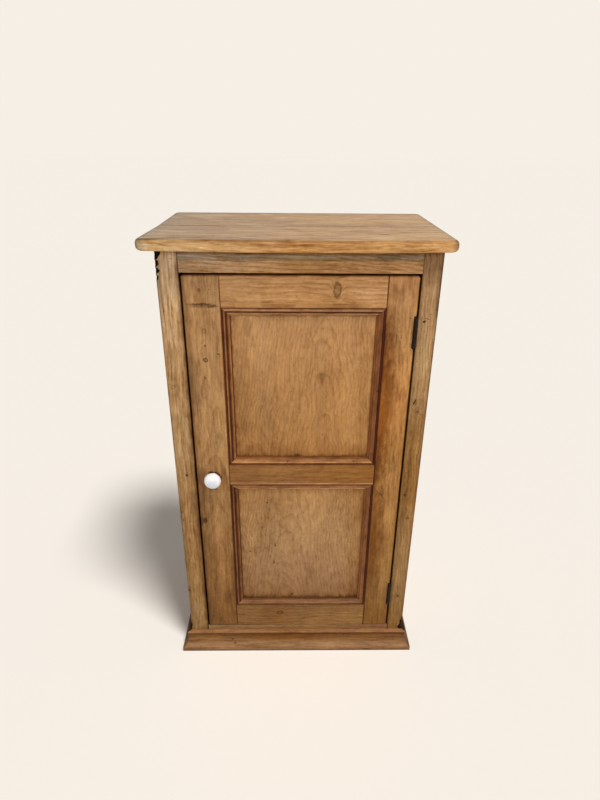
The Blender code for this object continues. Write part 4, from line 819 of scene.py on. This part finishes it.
# Dirt and painted shade on the hinge edge in its gap
HINGE_EDGE_GRIME_AND_SHADE = [(0.0, (0.40, 0.28, 0.20)), (0.0018, (0.92, 0.89, 0.85)), (0.006, (1, 1, 1))]
JOINT_LINE = [(0.0, (0.42, 0.28, 0.18)), (0.0010, (0.72, 0.60, 0.48)), (0.0024, (1, 1, 1))]
DARK_JOINT_LINE = [(0.0, (0.20, 0.11, 0.05)), (0.0014, (0.60, 0.46, 0.34)), (0.0028, (1, 1, 1))]
dress_in_pine(
    "door_lock_stile", "z", ("z", LOCK_STILE_TONES), 81, heart=(0.01, 0.05, 0), run_out=0.05,
    bands=[
        ("z", 1, 0.004, DOOR_TOP_GRIME_SHADE_AND_LIGHT), ("x", -1, 0.002, LOCK_EDGE_GRIME_AND_SHADE), ("x", 1, 0.0008, JOINT_LINE),
    ],
    washes=LOCK_STILE_WASHES,
    marks=[
        (-0.1865, 0.9344, 0.0030, 0.0040, 0.6, 0), (-0.1850, 0.9064, 0.026, 0.0028, 0.8, 0),
        (-0.1900, 0.9030, 0.016, 0.0038, 0.5, 0), (-0.1640, 0.9030, 0.012, 0.0034, 0.75, 0),
        (-0.1869, 0.7534, 0.0035, 0.0035, 0.5, 0), (-0.1842, 0.7926, 0.0026, 0.0026, 0.6, 0),
        (-0.1840, 0.5258, 0.0115, 0.0036, 1.0, 0), (-0.1728, 0.5212, 0.0050, 0.0042, 0.9, 0),
        (-0.1672, 0.5130, 0.0024, 0.0062, 0.7, 0), (-0.1867, 0.4832, 0.0125, 0.0024, 0.55, 0),
        (-0.2060, 0.4900, 0.0025, 0.0080, 0.5, 0),
        (-0.1577, 0.8050, 0.004, 0.0016, 0.8, 0), (-0.2095, 0.3970, 0.0055, 0.0090, 0.9, 0),
        (-0.2170, 0.3950, 0.0035, 0.0140, 0.6, 0), (-0.2077, 0.478, 0.005, 0.040, 0.3, 4),
        (-0.187, 0.4965, 0.018, 0.004, 0.25, 0), (-0.160, 0.535, 0.005, 0.020, 0.25, -10),
        (-0.1825, 0.8222, 0.0025, 0.0025, 0.7, 0),
    ],
    knots=[(-0.1824, 0.8533, 0.0042, 0.0046, 0.55), (-0.1838, 0.7926, 0.0044, 0.0046, 0.9)],
)
dress_in_pine(
    "door_hinge_stile", "z", ("z", HINGE_STILE_TONES), 82, heart=(-0.02, 0.06, 0), run_out=0.06,
    patches=0.9, washes=HINGE_STILE_WASHES,
    bands=[
        ("z", 1, 0.003, DOOR_TOP_GRIME_SHADE_AND_LIGHT), ("x", 1, 0.002, HINGE_EDGE_GRIME_AND_SHADE),
        ("x", -1, 0.0008, DARK_JOINT_LINE),
    ],
    marks=[
        (0.2184, 0.8812, 0.0018, 0.0022, 0.9, 0), (0.1910, 0.4665, 0.0012, 0.0150, 0.8, -42),
        (0.1914, 0.7275, 0.010, 0.045, 0.22, 0), (0.205, 0.60, 0.008, 0.05, 0.2, 0),
    ],
)
DOOR_TOP_TONES = [
    (-0.12, (0.436, 0.226, 0.090)), (0.0, (0.490, 0.249, 0.094)), (0.07, (0.440, 0.222, 0.079)),
    (0.14, (0.515, 0.268, 0.110)),
]
SHADE_OVER_MOULDING = [
    (0.0, (0.50, 0.40, 0.30)), (0.002, (0.80, 0.76, 0.70)), (0.012, (0.87, 0.84, 0.79)),
    (0.020, (1, 1, 1)),
]
dress_in_pine(
    "door_top_rail", "x", ("x", DOOR_TOP_TONES), 83, heart=(0, 0.05, -0.03), run_out=0.03, figure=0.35,
    bands=[
        ("z", 1, 0.004, DOOR_TOP_GRIME_SHADE_AND_LIGHT), ("x", -1, 0.0008, JOINT_LINE), ("x", 1, 0.0008, JOINT_LINE),
        ("z", -1, 0.003, SHADE_OVER_MOULDING),
    ],
    washes=[
        (0.122, 0.925, 0.030, 0.011, (1.14, 1.18, 1.28)), (0.105, 0.905, 0.04, 0.004, (0.85, 0.80, 0.74)),
    ],
    knots=[(0.0755, 0.9356, 0.0075, 0.0150, 0.65)],
)
RAIL_DIRT = [("x", -1, 0.0012, 0.8), ("x", 1, 0.0012, 0.8), ("z", 1, 0.0012, 0.6)]
DOOR_MIDDLE_TONES = [
    (-0.12, (0.218, 0.093, 0.026)), (-0.05, (0.252, 0.111, 0.032)), (0.15, (0.246, 0.099, 0.020)),
]
# A pale line along the middle rail's lower arris
PALE_LOWER_ARRIS = [
    (0.0, (1.1, 1.1, 1.3)), (0.0012, (1.7, 1.95, 3.4)), (0.0026, (1.6, 1.85, 3.0)),
    (0.0042, (1.15, 1.2, 1.4)), (0.006, (1, 1, 1)),
]
dress_in_pine(
    "door_middle_rail", "x", ("x", DOOR_MIDDLE_TONES), 84, heart=(0, 0.05, 0.02), run_out=0.03,
    bands=[("z", -1, 0.001, PALE_LOWER_ARRIS)], dirt=RAIL_DIRT,
)
DOOR_BOTTOM_TONES = [
    (-0.12, (0.198, 0.093, 0.026)), (-0.05, (0.185, 0.077, 0.019)), (0.03, (0.225, 0.108, 0.034)),
    (0.14, (0.235, 0.112, 0.033)),
]
dress_in_pine(
    "door_bottom_rail", "x", ("x", DOOR_BOTTOM_TONES), 85, heart=(0, 0.05, -0.03), run_out=0.02,
    dirt=RAIL_DIRT, knots=[(-0.0395, 0.1086, 0.0085, 0.0060, 0.75)],
)

# Panels
# Flat boards with the grain upright, loose in the grooves of the frame. Flame figure runs up
# the right half of the upper one. Wax, dirt and painted shade lie along the mouldings round them,
# most of all along their lower edges.
UPPER_PANEL_TONES = [
    (0.60, (0.357, 0.170, 0.054)), (0.75, (0.388, 0.194, 0.068)), (0.91, (0.436, 0.224, 0.092)),
]
LOWER_PANEL_TONES = [
    (0.13, (0.215, 0.102, 0.035)), (0.234, (0.288, 0.151, 0.064)), (0.34, (0.340, 0.186, 0.077)),
    (0.49, (0.342, 0.172, 0.062)),
]
# Each border is measured from the panel's own edge, the first 25 mm of which lie in the groove
# and under the moulding. The borders darken the panel along the mouldings with dirt and painted
# shade, and lighten it a little below the top moulding.
UPPER_BORDERS = [
    ("x", -1, 0.020, [
        (0.0255, (0.60, 0.50, 0.38)), (0.0290, (0.84, 0.79, 0.72)), (0.036, (0.94, 0.92, 0.88)),
        (0.055, (1, 1, 1)),
    ]),
    ("x", 1, 0.020, [
        (0.0255, (0.86, 0.78, 0.66)), (0.0285, (0.97, 0.94, 0.90)), (0.038, (0.93, 0.90, 0.84)),
        (0.055, (1, 1, 1)),
    ]),
    ("z", -1, 0.026, [(0.0250, (0.50, 0.40, 0.28)), (0.032, (0.80, 0.72, 0.60)), (0.065, (1, 1, 1))]),
    ("z", 1, 0.012, [
        (0.0255, (0.78, 0.72, 0.62)), (0.0290, (1.08, 1.12, 1.15)), (0.036, (1.04, 1.06, 1.06)),
        (0.050, (1, 1, 1)),
    ]),
]
LOWER_BORDERS = [
    ("x", -1, 0.024, [(0.0255, (0.74, 0.65, 0.54)), (0.030, (0.96, 0.93, 0.86)), (0.060, (1, 1, 1))]),
    ("x", 1, 0.030, [(0.0255, (0.66, 0.54, 0.38)), (0.036, (0.84, 0.76, 0.60)), (0.075, (1, 1, 1))]),
    ("z", -1, 0.030, [
        (0.0255, (0.52, 0.44, 0.34)), (0.0290, (0.70, 0.62, 0.50)), (0.036, (0.92, 0.88, 0.82)),
        (0.070, (1, 1, 1)),
    ]),
    ("z", 1, 0.014, [
        (0.0255, (0.84, 0.78, 0.68)), (0.0300, (1.10, 1.10, 1.06)), (0.042, (1.10, 1.10, 1.06)),
        (0.060, (1, 1, 1)),
    ]),
]
dress_in_pine(
    "door_upper_panel", "z", ("z", UPPER_PANEL_TONES), 91, rings=0.0072, heart=(0.055, 0.035, 0),
    run_out=0.12, curl=(12, 0.019), figure=0.30, streaks=0.45, strokes=0.5, patches=0.9, mottle=0.6,
    nap=0.6, bands=UPPER_BORDERS,
    washes=[
        (-0.112, 0.73, 0.022, 0.16, (0.80, 0.78, 0.76)), (-0.070, 0.73, 0.022, 0.17, (0.91, 0.92, 0.98)),
        (0.080, 0.74, 0.032, 0.13, (1.12, 1.12, 1.10)), (0.136, 0.73, 0.014, 0.15, (0.92, 0.89, 0.85)),
    ],
    marks=[
        (-0.0972, 0.8566, 0.010, 0.022, 0.25, 0), (-0.0882, 0.8254, 0.006, 0.014, 0.22, 0),
        (0.0009, 0.566, 0.007, 0.0045, 0.7, 0), (0.0383, 0.561, 0.008, 0.004, 0.7, 0),
        (0.0511, 0.7522, 0.006, 0.012, 0.2, 0), (0.100, 0.563, 0.014, 0.004, 0.5, 0),
    ],
)
dress_in_pine(
    "door_lower_panel", "z", ("z", LOWER_PANEL_TONES), 92, rings=0.0068, heart=(-0.02, 0.05, 0),
    run_out=0.10, curl=(13, 0.018), figure=0.28, streaks=0.45, strokes=0.5, patches=1.0, mottle=0.8,
    nap=0.65, flecks=0.8, bands=LOWER_BORDERS,
    washes=[(-0.107, 0.33, 0.018, 0.12, (1.08, 1.08, 1.06))],
    marks=[
        (-0.0659, 0.4395, 0.0024, 0.0030, 0.8, 0), (-0.0501, 0.3165, 0.0018, 0.0050, 0.9, -8),
        (-0.0531, 0.2644, 0.0018, 0.0060, 0.8, 0), (-0.0799, 0.3699, 0.0025, 0.0030, 0.5, 0),
        (-0.1090, 0.2984, 0.0022, 0.0030, 0.8, 0), (-0.0093, 0.1612, 0.0028, 0.0035, 0.9, 0),
    ],
)

# Panel mouldings
# Strips with a small fillet, a quirk and a long ovolo, mitred at the corners and bradded to
# the frame round each panel. Stain, old wax and painted shade lie dark in the quirks, and bands
# of painted light lie on the fillets and crests.
# Colours across each strip's profile, which paint its light and shade
STRIP_LIGHT_AND_SHADE = {
    "left": [
        (0.0, (0.07, 0.015, 0.001)), (0.0026, (0.07, 0.015, 0.001)), (0.0050, (0.30, 0.125, 0.044)),
        (0.0082, (0.06, 0.012, 0.001)), (0.0106, (0.06, 0.012, 0.001)), (0.0136, (0.32, 0.135, 0.040)),
        (0.0150, (0.28, 0.110, 0.030)), (0.0162, (0.06, 0.012, 0.001)),
    ],
    "right": [
        (0.0, (0.05, 0.009, 0.001)), (0.0028, (0.05, 0.009, 0.001)), (0.0046, (0.145, 0.047, 0.016)),
        (0.0090, (0.178, 0.060, 0.019)), (0.0130, (0.245, 0.087, 0.027)), (0.0155, (0.20, 0.063, 0.015)),
        (0.0173, (0.11, 0.028, 0.003)),
    ],
    "top": [
        (0.0, (0.12, 0.032, 0.004)), (0.0012, (0.14, 0.040, 0.005)), (0.0040, (0.66, 0.35, 0.175)),
        (0.0070, (0.07, 0.015, 0.001)), (0.0090, (0.07, 0.015, 0.001)), (0.0128, (0.56, 0.31, 0.14)),
        (0.0144, (0.32, 0.145, 0.042)),
    ],
    "bottom": [
        (0.0, (0.11, 0.030, 0.004)), (0.0018, (0.11, 0.030, 0.004)), (0.0042, (0.30, 0.12, 0.034)),
        (0.0066, (0.46, 0.22, 0.086)), (0.0086, (0.30, 0.13, 0.044)), (0.0125, (0.23, 0.090, 0.029)),
        (0.0155, (0.21, 0.080, 0.022)), (0.0173, (0.14, 0.046, 0.010)),
    ],
    "worn_top": [
        (0.0, (0.22, 0.090, 0.030)), (0.0040, (0.22, 0.085, 0.026)), (0.0068, (0.28, 0.125, 0.045)),
        (0.0098, (0.27, 0.118, 0.037)), (0.0128, (0.58, 0.30, 0.14)), (0.0150, (0.45, 0.22, 0.090)),
    ],
    "worn_bottom": [
        (0.0, (0.09, 0.028, 0.005)), (0.0018, (0.11, 0.038, 0.008)), (0.0045, (0.215, 0.094, 0.031)),
        (0.0075, (0.195, 0.090, 0.036)), (0.0115, (0.162, 0.070, 0.027)), (0.0147, (0.145, 0.057, 0.018)),
        (0.0172, (0.09, 0.031, 0.008)),
    ],
}
# The painted light and shade of each strip, by the distance from its outer edge, and the tone of its wood
FULL_TONE = (1, 1, 1)
STRIPS = {
    "upper_panel_top": ("top", FULL_TONE),
    "upper_panel_bottom": ("bottom", FULL_TONE),
    "upper_panel_left": ("left", FULL_TONE),
    "upper_panel_right": ("right", FULL_TONE),
    "lower_panel_top": ("worn_top", FULL_TONE),
    "lower_panel_bottom": ("worn_bottom", FULL_TONE),
    "lower_panel_left": ("left", (0.74, 0.68, 0.62)),
    "lower_panel_right": ("right", (1.0, 1.05, 1.05)),
}
STRIP_SIDES = {"top": ("z", 1), "bottom": ("z", -1), "left": ("x", -1), "right": ("x", 1)}
BRAD_MARKS = {
    "upper_panel_right": [(0.1652, 0.7238, 0.0022, 0.0028, 0.9, 0)],
    "upper_panel_bottom": [
        (0.1238, 0.5547, 0.0020, 0.0020, 0.9, 0), (-0.02, 0.5547, 0.0018, 0.0018, 0.8, 0),
    ],
}
for number, (strip, (shade, tone)) in enumerate(STRIPS.items()):
    axis, side = STRIP_SIDES[strip.split("_")[-1]]
    grain = "x" if axis == "z" else "z"
    dress_in_pine(
        strip + "_moulding", grain, (grain, [(-1, tone), (1, tone)]), 100 + number,
        heart=(0.02, 0.03, 0.02), figure=0.25, streaks=0.8, mottle=1.4, satin=0.42, dirt_colour=SOOT_AND_SHADE,
        bands=[(axis, side, 0.0016, STRIP_LIGHT_AND_SHADE[shade])], marks=BRAD_MARKS.get(strip, []),
    )

# Hinges
# Two cast iron butts with steel pins, let into the door's edge and screwed to it and to the
# face stile. The castings were once blacked and have worn grey on the knuckles.


def iron(name, dark, worn, roughness, shine):
    """Blacked iron that shows worn metal in patches."""
    finish = Finish(bpy.data.materials.new(name))
    place = finish.node("ShaderNodeTexCoord", result="Object")
    cloud = finish.clouds(place, 260, 4, 0.6)
    grit = finish.clouds(place, 1500, 2)
    bare = cloud.fade(0.5, 0.72)
    height = cloud * 0.7 + grit * 0.3
    return finish.surface({
        "Base Color": finish.mix(dark, worn, bare),
        "Metallic": bare * 0.3 + shine,
        "Roughness": grit * 0.2 - bare * 0.12 + roughness,
        "Normal": finish.relief(height, 0.5, 0.0004),
        "Specular IOR Level": 0.2,
    })


blacked_iron = iron("blacked_iron", (0.008, 0.004, 0.0025), (0.040, 0.028, 0.020), 0.7, 0.0)
rubbed_steel = iron("rubbed_steel", (0.07, 0.062, 0.055), (0.24, 0.22, 0.20), 0.38, 0.5)
for hinge in ("upper_hinge", "lower_hinge"):
    dress(hinge + "_pin", blacked_iron)
    for leaf in ("frame", "door"):
        dress(f"{hinge}_{leaf}_leaf", blacked_iron)
        for number in range(1, 4):
            dress(f"{hinge}_{leaf}_screw_{number}", rubbed_steel)

# Knob and catch
# A white glazed porcelain knob cemented on an iron spindle, which passes through the lock
# stile and turns an iron tongue behind the face stile. A nut holds the tongue on.
GLAZE = (0.84, 0.81, 0.80)
GLAZE_PAINTED_BLUE_SHADE = (0.60, 0.64, 0.76)
GLAZE_CLOUD = (0.55, 0.50, 0.50)
CRAZING = (0.52, 0.49, 0.45)
FOOT_GREY = (0.30, 0.24, 0.19)
knob_middle = sum(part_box("knob"), Vector()) / 2


def porcelain():
    """White glaze, crazed, with painted bluish shade low on its face and greyer towards its foot."""
    finish = Finish(bpy.data.materials.new("white_glaze"))
    place = finish.node("ShaderNodeTexCoord", result="Object")
    cloud = finish.clouds(place, 60, 3)
    cells = {"Vector": place, "Scale": 260}
    crazing = finish.node("ShaderNodeTexVoronoi", {"feature": "DISTANCE_TO_EDGE"}, cells).fade(0.03, 0)
    depth = finish.node("ShaderNodeSeparateXYZ", None, {"Vector": place}, "Y")
    foot = (depth - front_y).fade(-0.006, -0.001)
    rise = finish.node("ShaderNodeSeparateXYZ", None, {"Vector": place}, "Z")
    across = finish.node("ShaderNodeSeparateXYZ", None, {"Vector": place}, "X")
    aside, above = across - knob_middle.x, rise - knob_middle.z + 0.002
    # A painted bluish shade over the lower middle of the knob's face
    middle = (aside * aside + above * above).fade(0.00020, 0.00002)
    colour = finish.mix(GLAZE, GLAZE_PAINTED_BLUE_SHADE, middle * 0.8)
    colour = finish.mix(colour, GLAZE_CLOUD, cloud.fade(0.58, 0.74) * (1 - middle) * 0.5)
    colour = finish.mix(colour, CRAZING, crazing * 0.16)
    colour = finish.mix(colour, FOOT_GREY, foot * 0.7)
    return finish.surface({
        "Base Color": colour,
        "Roughness": cloud * 0.08 + 0.1,
        "Coat Weight": 0.6,
        "Coat Roughness": 0.05,
        "Normal": finish.relief(cloud, 0.15, 0.0004),
    })


dress("knob", porcelain())
dress("knob_spindle", rubbed_steel)
dress("catch_tongue", blacked_iron)
dress("spindle_nut", rubbed_steel)
